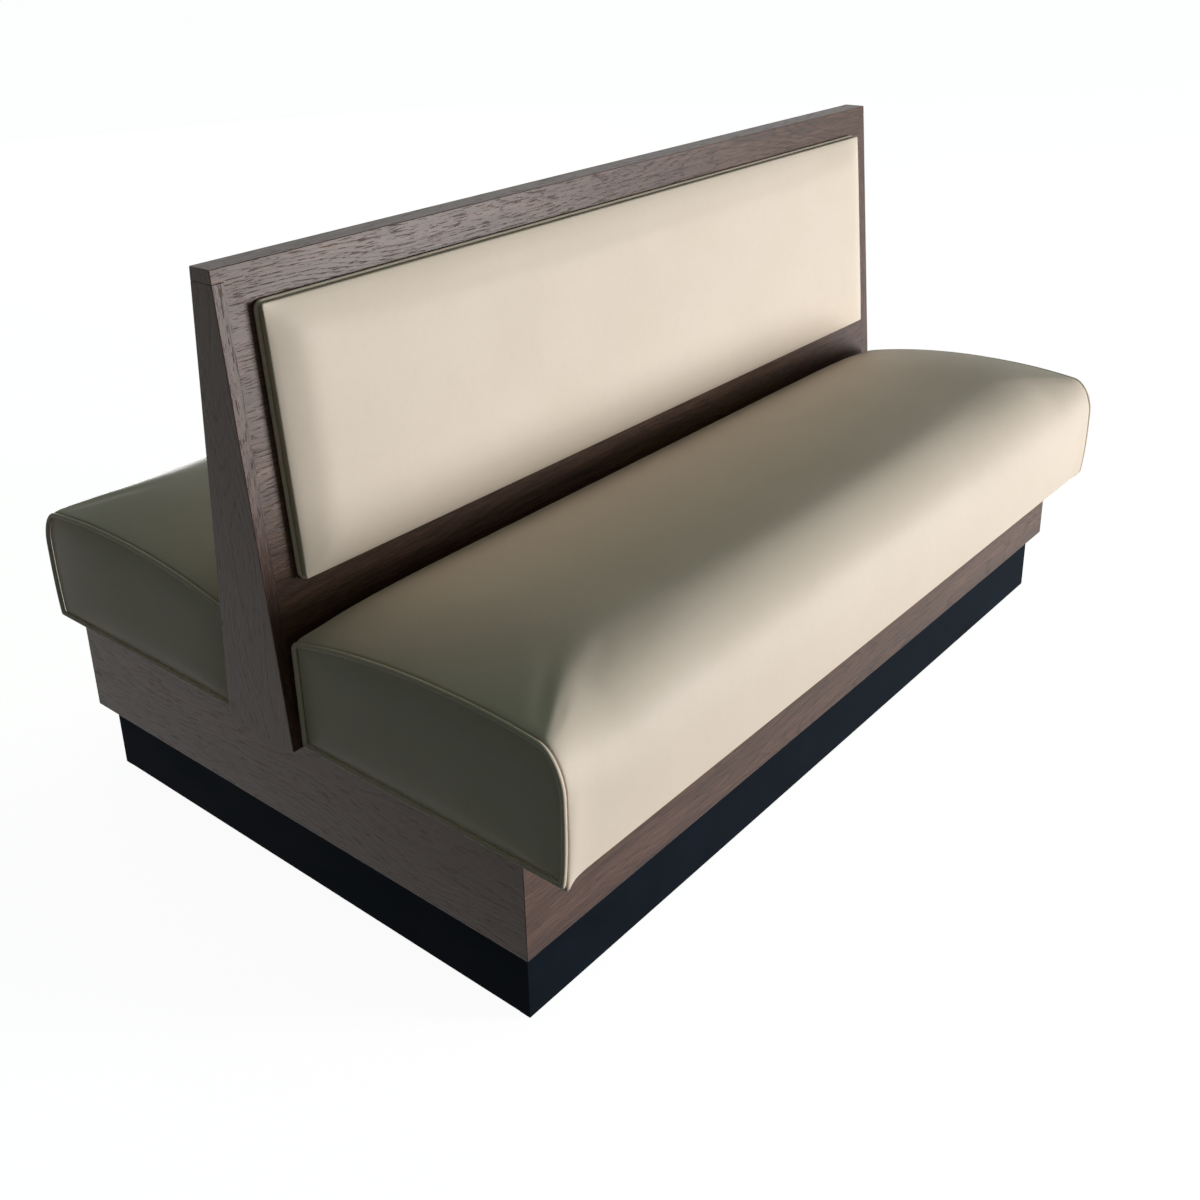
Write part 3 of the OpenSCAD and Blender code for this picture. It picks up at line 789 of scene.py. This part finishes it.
@dataclass
class Stuffing:
    """Presses a closed cover outward as cloth, while its seams are held."""

    reach: float
    pressure: float = 4.0
    frames: int = 20

    def press(self, piece: Piece, held: Sequence[int], give: Callable[[Vector], float]) -> None:
        """Runs the cloth, applies it and caps how far each point has moved.

        Args:
            piece: the closed cover.
            held: numbers of the points that stay where they are.
            give: share of the reach that a point may use, by its place.
        """
        start = [vert.co.copy() for vert in piece.data.vertices]
        group = piece.vertex_groups.new(name="held")
        group.add(list(held), 1.0, "REPLACE")
        select_alone(piece)
        cloth = piece.modifiers.new("Stuffing", "CLOTH")
        settings = cloth.settings
        settings.vertex_group_mass = group.name
        settings.use_pressure = True
        settings.uniform_pressure_force = self.pressure
        settings.effector_weights.gravity = 0
        scene = bpy.context.scene
        for step in range(1, self.frames + 1):
            scene.frame_set(step)
        bpy.ops.object.modifier_apply(modifier=cloth.name)
        farthest = 0.0
        for vert, home in zip(piece.data.vertices, start):
            move = vert.co - home
            reach = self.reach * give(home)
            if move.length > 1e-9:
                vert.co = home + move * (reach * tanh(move.length / reach) / move.length)
            farthest = max(farthest, (vert.co - home).length)
        piece.vertex_groups.clear()
        scene.frame_set(1)
        log.info("%s: stuffing moved points by up to %.1f mm", piece.name, farthest * 1000)


@dataclass
class Piping:
    """A welt of vinyl over a cord."""

    radius: float = 0.0036
    sides: int = 12

    def loop(self, name: str, path: Sequence[Vector], across: Vector) -> Piece:
        """Models a closed tube.

        Args:
            name: name of the piece.
            path: points of its centre line, in order.
            across: normal of the plane in which the path lies.

        Returns:
            The tube.
        """
        count = len(path)
        verts, faces = [], []
        for place in range(count):
            run = (path[(place + 1) % count] - path[place - 1]).normalized()
            out = run.cross(across).normalized()
            for side in range(self.sides):
                turn = tau * side / self.sides
                around = cos(turn) * out + sin(turn) * across
                verts.append(path[place] + self.radius * around)
        rings = [range(place * self.sides, (place + 1) * self.sides) for place in range(count)]
        for place in range(count):
            faces += band(rings[place], rings[(place + 1) % count])
        tube = make_skin(name, verts, faces)
        refine(tube)
        return tube


@dataclass
class Seat:
    """A crowned seat cushion with a piped panel at each end.

    A place in its outline is (u, h): u from the back edge, h above the base box.
    """

    piping: Piping = field(default_factory=Piping)
    stuffing: Stuffing = field(default_factory=lambda: Stuffing(0.005))
    base_z: float = field(default_factory=lambda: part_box("base_front_plank")[1].z)
    back_y: float = field(default_factory=lambda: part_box("front_seat_cover")[1].y)
    seam_x: float = field(default_factory=lambda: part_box("base_front_board")[1].x)
    low: float = 0.0003
    height: float = 0.1955
    depth: float = 0.462
    peak: float = 0.300
    back_fall: float = 0.035
    back_curve: float = 2.2
    nose_fall: float = 0.0085
    nose_depth: float = 0.036
    nose_drop: float = 0.061
    middle_nose_depth: float = 0.104
    middle_nose_drop: float = 0.0675
    middle_nose_ease: float = 1.35
    nose_steps: int = 12
    nose_reach: float = 0.13
    front_swell: float = 0.0064
    swell_curve: float = 3
    crown: float = 0.0235
    crown_curve: float = 10
    shoulder_curve: float = 0.09
    back_radius: float = 0.012
    foot_radius: float = 0.006
    station: float = 0.0125
    # Number of steps up the back, along the top, down the front and along the underside
    steps: tuple[int, int, int, int] = (14, 40, 12, 24)
    # Offset from the seam and inset of the cover's rings, from the flat run into the seam
    seam_run: tuple[Pair, ...] = (
        (-0.045, -0.0002), (-0.030, -0.0010), (-0.020, -0.0018), (-0.0130, -0.0024),
        (-0.0085, -0.0026), (-0.0060, -0.0022), (-0.0047, -0.0014), (-0.0041, -0.0002),
        (-0.0038, 0.0014), (-0.0034, 0.0031), (-0.0028, 0.0046), (-0.0018, 0.0053))
    # Offset from the seam, and share of the way to the panel's middle, of the end panel's rings
    panel_run: tuple[Pair, ...] = (
        (-0.0016, 0.010), (-0.0014, 0.020), (-0.0008, 0.036), (0.0001, 0.060), (0.0011, 0.10),
        (0.0020, 0.16), (0.0027, 0.24), (0.0032, 0.33), (0.0036, 0.43), (0.0039, 0.54),
        (0.0040, 0.66), (0.0040, 0.79), (0.0041, 0.91))
    panel_middle: Pair = (0.235, 0.095)
    # Width of the strips that are held at the end seams, the back and the underside
    hold: Point = (0.0048, 0.001, 0.004)
    # Least share of the stuffing's reach, and width of the strip that has less
    end_give: Pair = (0.2, 0.16)
    back_give: Pair = (0.1, 0.05)
    # Droop of the cover at the front's left bottom corner, and its reach along, back and up
    tail_drop: float = 0.010
    tail_reach: Point = (0.0147826, 0.022, 0.020)
    welt_inset: float = 0.0009
    welt_out: float = 0.0005
    back_room: float = 0.0028

    @property
    def front(self) -> float:
        """Depth at the nose."""
        return self.depth + self.front_swell

    @property
    def nose(self) -> float:
        """Where the nose starts to fall."""
        return self.front - self.nose_depth

    def top(self, u: float) -> float:
        """Height of the end outline's top at u.

        Args:
            u: distance from the back edge.

        Returns:
            The height over the base box.
        """
        if u < self.peak:
            return self.height - self.back_fall * ((self.peak - u) / self.peak) ** self.back_curve
        return self.height - self.nose_fall * ((u - self.peak) / (self.nose - self.peak)) ** 2

    def raised(self, u: float, lift: float) -> float:
        """Height of the top at u where the crown rises by lift."""
        return self.top(u) + lift * max(0.0, sin(pi * u / self.front)) ** self.shoulder_curve

    def nose_at(self, x: float) -> tuple[float, float, float]:
        """Depth, drop and ease of the nose at x: tight in the seam and broad along the middle.

        Args:
            x: place along the seat.

        Returns:
            The depth, the drop and the ease.
        """
        share = min(1.0, (self.seam_x - abs(x)) / self.nose_reach)
        broad = share * share * (3 - 2 * share)
        return (self.nose_depth + (self.middle_nose_depth - self.nose_depth) * broad,
                self.nose_drop + (self.middle_nose_drop - self.nose_drop) * broad,
                1 + (self.middle_nose_ease - 1) * broad)

    def nose_curve(self, ease: float) -> list[Pair]:
        """Shares of the nose's depth and drop along it: a quarter round, flatter for more ease.

        Args:
            ease: how flat the curve is.

        Returns:
            A pair of shares for each step down the nose.
        """
        run = [(0.0, 0.0)]
        for step in range(self.nose_steps):
            angle = pi / 2 * ((step + 0.5) / self.nose_steps) ** ease
            run.append((run[-1][0] + cos(angle), run[-1][1] + sin(angle)))
        return [(u / run[-1][0], h / run[-1][1]) for u, h in run[1:]]

    def outline(self, x: float) -> list[Vector]:
        """Outline of the seat, from the back's foot over the top to the front and underneath.

        Args:
            x: place along the bench.

        Returns:
            The closed outline, as points (u, h).
        """
        foot, radius, lift = self.foot_radius, self.back_radius, self.lift(x)
        up_steps, top_steps, down_steps, under_steps = self.steps
        depth, drop, ease = self.nose_at(x)
        nose_z = self.height - self.nose_fall - drop
        foot_top = self.low + foot
        points = arc((foot, foot_top), foot, range(270, 179, -30))
        shoulder = self.raised(radius, lift) - radius
        for step in range(1, up_steps):
            points.append((0, foot_top + (shoulder - self.low - foot) * step / up_steps))
        points += arc((radius, shoulder), radius, range(180, 89, -18))
        start = self.front - depth
        for step in range(1, top_steps + 1):
            u = radius + (start - radius) * step / top_steps
            points.append((u, self.raised(u, lift)))
        for across, down in self.nose_curve(ease):
            u = start + depth * across
            points.append((u, nose_z + (self.raised(u, lift) - nose_z) * (1 - down)))
        for step in range(1, down_steps):
            share = step / down_steps * (nose_z - foot_top) / nose_z
            swell = self.front_swell * share ** self.swell_curve
            points.append((self.front - swell, nose_z * (1 - share)))
        swell = self.front_swell * ((nose_z - foot_top) / nose_z) ** self.swell_curve
        heel = self.front - swell - foot
        points += arc((heel, foot_top), foot, range(0, -91, -30))
        for step in range(1, under_steps):
            points.append((heel - (heel - foot) * step / under_steps, self.low))
        return [Vector(point) for point in points]

    def drawn_in(self, outline: Sequence[Vector], inset: float) -> list[Vector]:
        """The outline moved inward by an inset.

        Args:
            outline: a closed ring at one place along the seat.
            inset: distance to move inward, or outward if negative.

        Returns:
            The moved ring, with as many points.
        """
        count = len(outline)
        ring = []
        for place, point in enumerate(outline):
            run = (outline[(place + 1) % count] - outline[place - 1]).normalized()
            ring.append(point + inset * Vector((run.y, -run.x)))
        return ring

    def ring(self, x: float, outline: Sequence[Vector]) -> list[Vector]:
        """The outline at x, as points in space."""
        return [Vector((x, self.back_y - point.x, self.base_z + point.y)) for point in outline]

    def lift(self, x: float) -> float:
        """Rise of the crown at x."""
        return self.crown * (1 - (abs(x) / self.seam_x) ** self.crown_curve)

    def half_rings(self) -> list[list[Vector]]:
        """Rings from the middle of the seat out to the right end panel's middle.

        Returns:
            The rings, each with the same number of points.
        """
        flat = self.seam_x + self.seam_run[0][0]
        count = round(flat / self.station)
        stations = [flat * step / count for step in range(count)]
        rings = [self.ring(x, self.outline(x)) for x in stations]
        for offset, inset in self.seam_run:
            x = self.seam_x + offset
            rings.append(self.ring(x, self.drawn_in(self.outline(x), inset)))
        rim = self.drawn_in(self.outline(self.seam_x), self.seam_run[-1][1])
        middle = Vector(self.panel_middle)
        for offset, share in self.panel_run:
            drawn = [point.lerp(middle, share) for point in rim]
            rings.append(self.ring(self.seam_x + offset, drawn))
        return rings

    def cover(self, name: str) -> tuple[Piece, list[int]]:
        """Models the cover as one closed skin.

        Args:
            name: name of the piece.

        Returns:
            The skin, and the numbers of the points that its seams, back and underside hold.
        """
        pole = self.ring(self.seam_x + self.panel_run[-1][0], [Vector(self.panel_middle)])
        half = self.half_rings() + [pole]
        mirrored = [[Vector((-point.x, point.y, point.z)) for point in ring]
                    for ring in half[:0:-1]]
        verts = [point for ring in mirrored + half for point in ring]
        size = len(half[0])
        rings = [range(first, first + size) for first in range(1, len(verts) - 1, size)]
        faces = [face for first, second in zip(rings, rings[1:]) for face in band(first, second)]
        for step in range(size):
            after = (step + 1) % size
            faces.append((0, rings[0][after], rings[0][step]))
            faces.append((len(verts) - 1, rings[-1][step], rings[-1][after]))
        piece = make_skin(name, verts, faces)
        held = [vert.index for vert in piece.data.vertices if self.is_held(vert.co)]
        return piece, held

    def is_held(self, place: Vector) -> bool:
        """True in the seams, on the back and on the underside.

        Args:
            place: a point of the cover.

        Returns:
            Whether the stuffing leaves it there.
        """
        in_seam = 0 < self.seam_x - abs(place.x) < self.hold[0]
        at_back = place.y > self.back_y - self.hold[1]
        under = place.z < self.base_z + self.low + self.hold[2]
        return in_seam or at_back or under

    def give(self, place: Vector) -> float:
        """Share of the stuffing's reach that a place may use.

        Args:
            place: a point of the cover.

        Returns:
            The share: 1 in the middle, and less near the end seams and the back.
        """
        share = 1.0
        for (least, width), inset in ((self.end_give, self.seam_x - abs(place.x)),
                                      (self.back_give, self.back_y - place.y)):
            share *= min(1.0, max(least, inset / width))
        return share

    def hang_tail(self, piece: Piece) -> None:
        """Lets the cover droop a little at the front's left bottom corner.

        Args:
            piece: the cover.
        """
        corner = (-self.seam_x, self.back_y - self.front, self.base_z)
        for vert in piece.data.vertices:
            along, back, up = ((vert.co[place] - corner[place]) / self.tail_reach[place]
                               for place in range(3))
            if 0 < along < 1 and back < 1 and up < 1:
                share = sin(pi * along) * sqrt(1 - max(back, 0)) * (1 - max(up, 0))
                vert.co.z -= self.tail_drop * share

    def build(self) -> None:
        """Models the front seat, and the rear seat as its turned copy."""
        cover, held = self.cover("seat_front")
        self.stuffing.press(cover, held, self.give)
        self.hang_tail(cover)
        refine(cover)
        path = self.drawn_in(self.outline(self.seam_x), self.welt_inset)
        near, low = self.piping.radius - self.back_room, self.piping.radius + self.low
        lifted = [Vector((max(point.x, near), max(point.y, low))) for point in path]
        for side, sign in (("left", -1), ("right", 1)):
            line = self.ring(sign * (self.seam_x + self.welt_out), lifted)
            welt = self.piping.loop(f"seat_front_welt_{side}", line, Vector((1, 0, 0)))
            upholster(welt, f"front_seat_{side}_piping")
        rear = upholster(cover, "front_seat_cover", "front_seat_foam")


@dataclass
class BackPad:
    """A boxed pad on the sloping panel, with a welt round its foot.

    A place on it is (x, v, w): v off the panel and w up the slope.
    """

    back: Back
    piping: Piping = field(default_factory=Piping)
    stuffing: Stuffing = field(default_factory=lambda: Stuffing(0.002))
    half_x: float = field(default_factory=lambda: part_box("front_pad_cover")[1].x)
    low_w: float = 0.237
    top_gap: float = 0.034
    thick: float = 0.0168
    roll: float = 0.0142
    roll_run: float = 0.072
    crown: float = 0.0008
    face_corner: float = 0.0035
    foot_corner: float = 0.0095
    edge: float = 0.0018
    cell: float = 0.010
    welt_inset: float = 0.0002
    welt_step: float = 0.02
    # Least share of the stuffing's reach, and width of the strip by the edges that has less
    edge_give: Pair = (0.1, 0.06)
    # Inset, height off the panel and share of the foot's corner radius, from the face to the foot
    wall_run: tuple[tuple[float, float, float], ...] = (
        (0, 0.0136, 0.10), (0, 0.0114, 0.25), (0.0003, 0.0098, 0.40), (0.0012, 0.0086, 0.60),
        (0.0026, 0.0077, 0.80), (0.0038, 0.0064, 1), (0.0036, 0.0042, 1), (0.0034, 0.0020, 1),
        (0.0034, 0.0004, 1))

    @property
    def half_w(self) -> float:
        """Half the pad's height."""
        slope = (self.back.cap_z - self.back.foot_z) / cos(self.back.tilt)
        return (slope - self.top_gap - self.low_w) / 2

    @property
    def middle_w(self) -> float:
        """The pad's middle, up the slope."""
        return self.low_w + self.half_w

    def insets(self) -> list[float]:
        """Insets of the grid's outer lines: over the rounded edge and through the corner."""
        edge = [self.edge * (1 - cos(radians(turn))) for turn in (0, 30, 60, 90)]
        return edge + [self.face_corner] + [self.foot_corner * share for share in (0.52, 0.72, 1)]

    def lines(self, half: float) -> list[float]:
        """Places of the grid's lines from one edge of the face to the other.

        Args:
            half: distance of the outer lines from the middle.

        Returns:
            The places, in order.
        """
        outer = [half - inset for inset in self.insets()]
        flat = outer[-1]
        count = max(2, round(2 * flat / self.cell))
        inner = [-flat + 2 * flat * step / count for step in range(1, count)]
        return [-place for place in outer] + inner + outer[::-1]

    def height(self, x: float, w: float) -> float:
        """Height off the panel of the face, which rolls down to all four edges.

        Args:
            x: place along the pad.
            w: place up the pad.

        Returns:
            The height in metres.
        """
        def rise(inset: float, run: float) -> float:
            """Share of the full height at an inset from an edge."""
            return 1 - (1 - min(1.0, inset / run)) ** 3

        from_end, from_side = self.half_x - abs(x), self.half_w - abs(w)
        rolled = rise(from_end, self.roll_run) * rise(from_side, self.roll_run)
        crowned = rise(from_end, self.half_w) * rise(from_side, self.half_w)
        face = self.thick + self.crown * crowned + self.roll * rolled
        inset = min(from_end, from_side)
        if inset >= self.edge:
            return face
        return face - self.edge + sqrt(self.edge ** 2 - (self.edge - inset) ** 2)

    def rounded(self, x: float, w: float, corner: float, inset: float = 0.0) -> Pair:
        """Bends a square grid's place onto the pad's rounded corners.

        Args:
            x: place along the pad, from its middle.
            w: place up the slope, from its middle.
            corner: radius of the corners.
            inset: how far the ring is drawn in.

        Returns:
            The new x and w.
        """
        flat_x, flat_w = self.half_x - corner, self.half_w - corner
        past_x, past_w = abs(x) - flat_x, abs(w) - flat_w
        if past_x > 0 and past_w > 0:
            far = max(past_x, past_w) * (corner - inset) / corner
            length = hypot(past_x, past_w)
            x = copysign(flat_x + past_x * far / length, x)
            w = copysign(flat_w + past_w * far / length, w)
        elif inset:
            x = copysign(min(abs(x), self.half_x - inset), x)
            w = copysign(min(abs(w), self.half_w - inset), w)
        return x, w

    def place(self, x: float, v: float, w: float) -> Vector:
        """A place on the pad as a point in space."""
        return self.back.slope() @ Vector((x, -v, self.middle_w + w))

    def cover(self, name: str) -> tuple[Piece, list[int]]:
        """Models the cover as one closed skin.

        Args:
            name: name of the piece.

        Returns:
            The skin, and the numbers of the points that its foot and wall hold.
        """
        xs, ws = self.lines(self.half_x), self.lines(self.half_w)
        right, top = len(xs) - 1, len(ws) - 1
        verts = []

        def lay(spots: Iterable[Spot], corner: float, inset: float,
                off: float | None = None) -> dict[Spot, int]:
            """Adds a point for each spot of the grid: off the panel by off, or else on the face.

            Args:
                spots: places in the grid.
                corner: radius of the corners.
                inset: distance in from the pad's edges.
                off: distance off the panel, or None for the face.

            Returns:
                The number of the point at each spot.
            """
            numbers = {}
            for i, j in spots:
                x, w = self.rounded(xs[i], ws[j], corner, inset)
                numbers[i, j] = len(verts)
                verts.append(self.place(x, self.height(xs[i], ws[j]) if off is None else off, w))
            return numbers

        grid = [(i, j) for i in range(right + 1) for j in range(top + 1)]
        cells = [[(i, j), (i + 1, j), (i + 1, j + 1), (i, j + 1)]
                 for i in range(right) for j in range(top)]
        face = lay(grid, self.face_corner, 0.0)
        faces = [[face[spot] for spot in cell] for cell in cells]
        border = ([(i, 0) for i in range(right)] + [(right, j) for j in range(top)]
                  + [(i, top) for i in range(right, 0, -1)] + [(0, j) for j in range(top, 0, -1)])
        above = [face[spot] for spot in border]
        first_held = len(verts)
        for inset, off, share in self.wall_run:
            corner = self.face_corner + (self.foot_corner - self.face_corner) * share
            below = list(lay(border, corner, inset, off).values())
            faces += band(above, below)
            above = below
        under = dict(zip(border, above))
        inner = [spot for spot in grid if spot not in under]
        under |= lay(inner, self.foot_corner, inset, off)
        faces += [[under[spot] for spot in cell[:1] + cell[:0:-1]] for cell in cells]
        piece = make_skin(name, verts, faces)
        return piece, list(range(first_held, len(piece.data.vertices)))

    def give(self, place: Vector) -> float:
        """Share of the stuffing's reach that a place may use.

        Args:
            place: a point of the cover.

        Returns:
            The share: 1 in the middle, and less near the edges.
        """
        local = self.back.slope().inverted() @ place
        inset = min(self.half_x - abs(local.x), self.half_w - abs(local.z - self.middle_w))
        least, width = self.edge_give
        return min(1.0, max(least, inset / width))

    def welt_path(self) -> list[Vector]:
        """Centre line of the welt round the pad's foot.

        Returns:
            The points of the closed line, in order.
        """
        radius = self.foot_corner - self.welt_inset
        flat_x, flat_w = self.half_x - self.foot_corner, self.half_w - self.foot_corner
        path = []
        for sign_x, sign_w, start in ((1, 1, 0), (-1, 1, 90), (-1, -1, 180), (1, -1, 270)):
            path += arc((sign_x * flat_x, sign_w * flat_w), radius, range(start, start + 91, 15))
        dense = []
        for first, second in zip(path, path[1:] + path[:1]):
            count = max(1, round(dist(first, second) / self.welt_step))
            dense += [(first[0] + (second[0] - first[0]) * step / count,
                       first[1] + (second[1] - first[1]) * step / count) for step in range(count)]
        return [self.place(x, self.piping.radius + self.welt_inset, w) for x, w in dense]

    def build(self) -> None:
        """Models the front pad, and the rear pad as its turned copy."""
        cover, held = self.cover("pad_front")
        self.stuffing.press(cover, held, self.give)
        refine(cover)
        off_panel = self.back.slope().to_3x3() @ Vector((0, 1, 0))
        welt = self.piping.loop("pad_front_welt", self.welt_path(), off_panel)
        upholster(welt, "front_pad_piping")
        rear = upholster(cover, "front_pad_cover", "front_pad_foam")


@dataclass
class InnerParts:
    """The panels, and the boards, timber and fixings inside, which keep the frame's own shapes."""

    slots: dict[str, str] = field(default_factory=lambda: {
        part["node"]: part["material_slot"] for part in frame["record"]["subparts"]})

    def finish(self, node: str) -> Finish:
        """The finish of a node, with its grain or plies by the node's longest or shortest side.

        Args:
            node: name of the node.

        Returns:
            The finish.
        """
        low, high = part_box(node)
        sides = list(high - low)
        longest, thinnest = Axis(sides.index(max(sides))), Axis(sides.index(min(sides)))
        slot = self.slots[node]
        if slot == "plywood":
            return Plywood(f"plywood_{thinnest.name.lower()}", slot, thinnest)
        if slot == "pine":
            return Pine(f"pine_{longest.name.lower()}", slot, longest)
        return {"oak": OAK_X, "plinth": LAMINATE, "vinyl": VINYL, "foam": VINYL,
                "steel": ZINC, "plastic": NYLON}[slot]

    def build(self) -> None:
        """Dresses every node."""
        for node, piece in frame["nodes"].items():
            finish = self.finish(node)
            finish.dress(piece)
            log.info("%s: %s", node, finish.name)


@dataclass
class Studio:
    """A pale floor, soft light and the camera."""

    floor_size: float = 70.0
    fill: float = 0.118
    fill_tint: Colour = (0.66, 1.0, 0.80, 1.0)
    # How much stronger the fill is towards the right, the rear and the top
    fill_lean: Point = (0.78, -0.30, -0.32)
    white: Colour = (1.0, 1.0, 1.0, 1.0)
    floor_glow: float = 0.94
    floor_tone: Colour = (0.60, 0.60, 0.60, 1.0)
    floor_bounce: Colour = srgb(150, 150, 150)
    # Power in watts, width and place of each soft light
    lights: tuple[tuple[str, float, float, Point], ...] = (
        ("front_light", 830.0, 3.3, (4.87, -6.96, -0.15)),
        ("rear_light", 250.0, 2.5, (3.0, 6.5, -0.60)))
    aim: Point = (0.0, 0.0, 0.45)
    eye: Point = (-1.7048, -1.3935, 1.3161)
    yaw: float = 40.675
    pitch: float = 21.984
    roll: float = 1.601
    film: float = 36.0
    lens: float = 41.14
    shift: Pair = (0.0144, -0.1251)

    def lay_floor(self) -> None:
        """A pale floor that takes the bench's shadow."""
        bpy.ops.object.select_all(action="DESELECT")
        bpy.ops.mesh.primitive_plane_add(size=self.floor_size, location=(0, 0, 0))
        floor = bpy.context.active_object
        floor.name = "floor"
        paint = bpy.data.materials.new("floor")
        paint.use_nodes = True
        sheet = Sheet(paint.node_tree)
        plain = sheet.add("ShaderNodeBsdfDiffuse", {}, {"Color": self.floor_bounce})
        soft = sheet.add("ShaderNodeBsdfDiffuse", {}, {"Color": self.floor_tone})
        glow = sheet.add("ShaderNodeEmission", {}, {
            "Color": self.white, "Strength": self.floor_glow})
        seen = sheet.add("ShaderNodeAddShader", {}, {0: soft.outputs[0], 1: glow.outputs[0]})
        self.show(sheet, "ShaderNodeOutputMaterial", plain, seen)
        floor.data.materials.append(paint)
        floor.visible_shadow = False

    def show(self, sheet: Sheet, output: str, lit: Node, seen: Node) -> None:
        """Ends a tree in two shaders, of which the camera, mirrors and glass see the second.

        Args:
            sheet: the tree.
            output: type of its last node.
            lit: the shader for light that falls on things.
            seen: the shader for what is seen.
        """
        path = sheet.add("ShaderNodeLightPath")
        rays = [Value(sheet, path.outputs[name])
                for name in ("Is Camera Ray", "Is Glossy Ray", "Is Transmission Ray")]
        in_view = (rays[0] + rays[1] + rays[2]).above(0.0, 1.0)
        both = sheet.add("ShaderNodeMixShader", {}, {
            0: in_view, 1: lit.outputs[0], 2: seen.outputs[0]})
        sheet.add(output, {}, {"Surface": both.outputs[0]})

    def hang_lights(self) -> None:
        """A strong light before the bench, a weaker one behind it, and a soft fill."""
        for name, power, width, place in self.lights:
            lamp = bpy.data.lights.new(name, "AREA")
            lamp.shape = "DISK"
            lamp.energy = power
            lamp.size = width
            light = bpy.data.objects.new(name, lamp)
            light.location = place
            away = Vector(place) - Vector(self.aim)
            light.rotation_euler = away.to_track_quat("Z", "Y").to_euler()
            light.visible_camera = False
            bpy.context.scene.collection.objects.link(light)
        world = bpy.data.worlds.new("studio")
        world.use_nodes = True
        bpy.context.scene.world = world
        sheet = Sheet(world.node_tree)
        toward = sheet.add("ShaderNodeSeparateXYZ", {}, {
            0: sheet.add("ShaderNodeTexCoord").outputs["Generated"]})
        strength = 1.0
        for axis, lean in zip(Axis, self.fill_lean):
            strength = strength + Value(sheet, toward.outputs[axis.value]) * lean
        fill = sheet.add("ShaderNodeBackground", {}, {
            "Color": self.fill_tint, "Strength": strength * self.fill})
        white = sheet.add("ShaderNodeBackground", {}, {"Color": self.white, "Strength": 1.0})
        self.show(sheet, "ShaderNodeOutputWorld", fill, white)

    def stand_camera(self) -> None:
        """The camera at the photograph's place."""
        yaw, pitch, roll = (radians(angle) for angle in (self.yaw, self.pitch, self.roll))
        ahead = Vector((cos(yaw) * cos(pitch), sin(yaw) * cos(pitch), -sin(pitch)))
        level = ahead.cross(Vector((0, 0, 1))).normalized()
        below = ahead.cross(level)
        right = cos(roll) * level + sin(roll) * below
        down = -sin(roll) * level + cos(roll) * below
        data = bpy.data.cameras.new("camera")
        data.sensor_width = self.film
        data.lens = self.lens
        data.shift_x, data.shift_y = self.shift
        camera = bpy.data.objects.new("camera", data)
        turn = Matrix((right, -down, -ahead)).transposed()
        camera.matrix_world = Matrix.Translation(self.eye) @ turn.to_4x4()
        bpy.context.scene.collection.objects.link(camera)
        bpy.context.scene.camera = camera

    def build(self) -> None:
        """Sets up the floor, the lights and the camera."""
        bpy.context.scene.view_settings.view_transform = "Standard"
        self.stand_camera()
        self.lay_floor()
        self.hang_lights()
        log.info("studio: %d lights", len(self.lights))


def main() -> None:
    """Builds the bench and its studio."""
    logging.basicConfig(level=logging.INFO, format="%(name)s %(message)s")
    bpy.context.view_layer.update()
    Studio().build()
    InnerParts().build()
    Plinth().build()
    BaseBox().build()
    back = Back()
    back.build()
    Seat().build()
    BackPad(back).build()


if __name__ == "__main__":
    main()
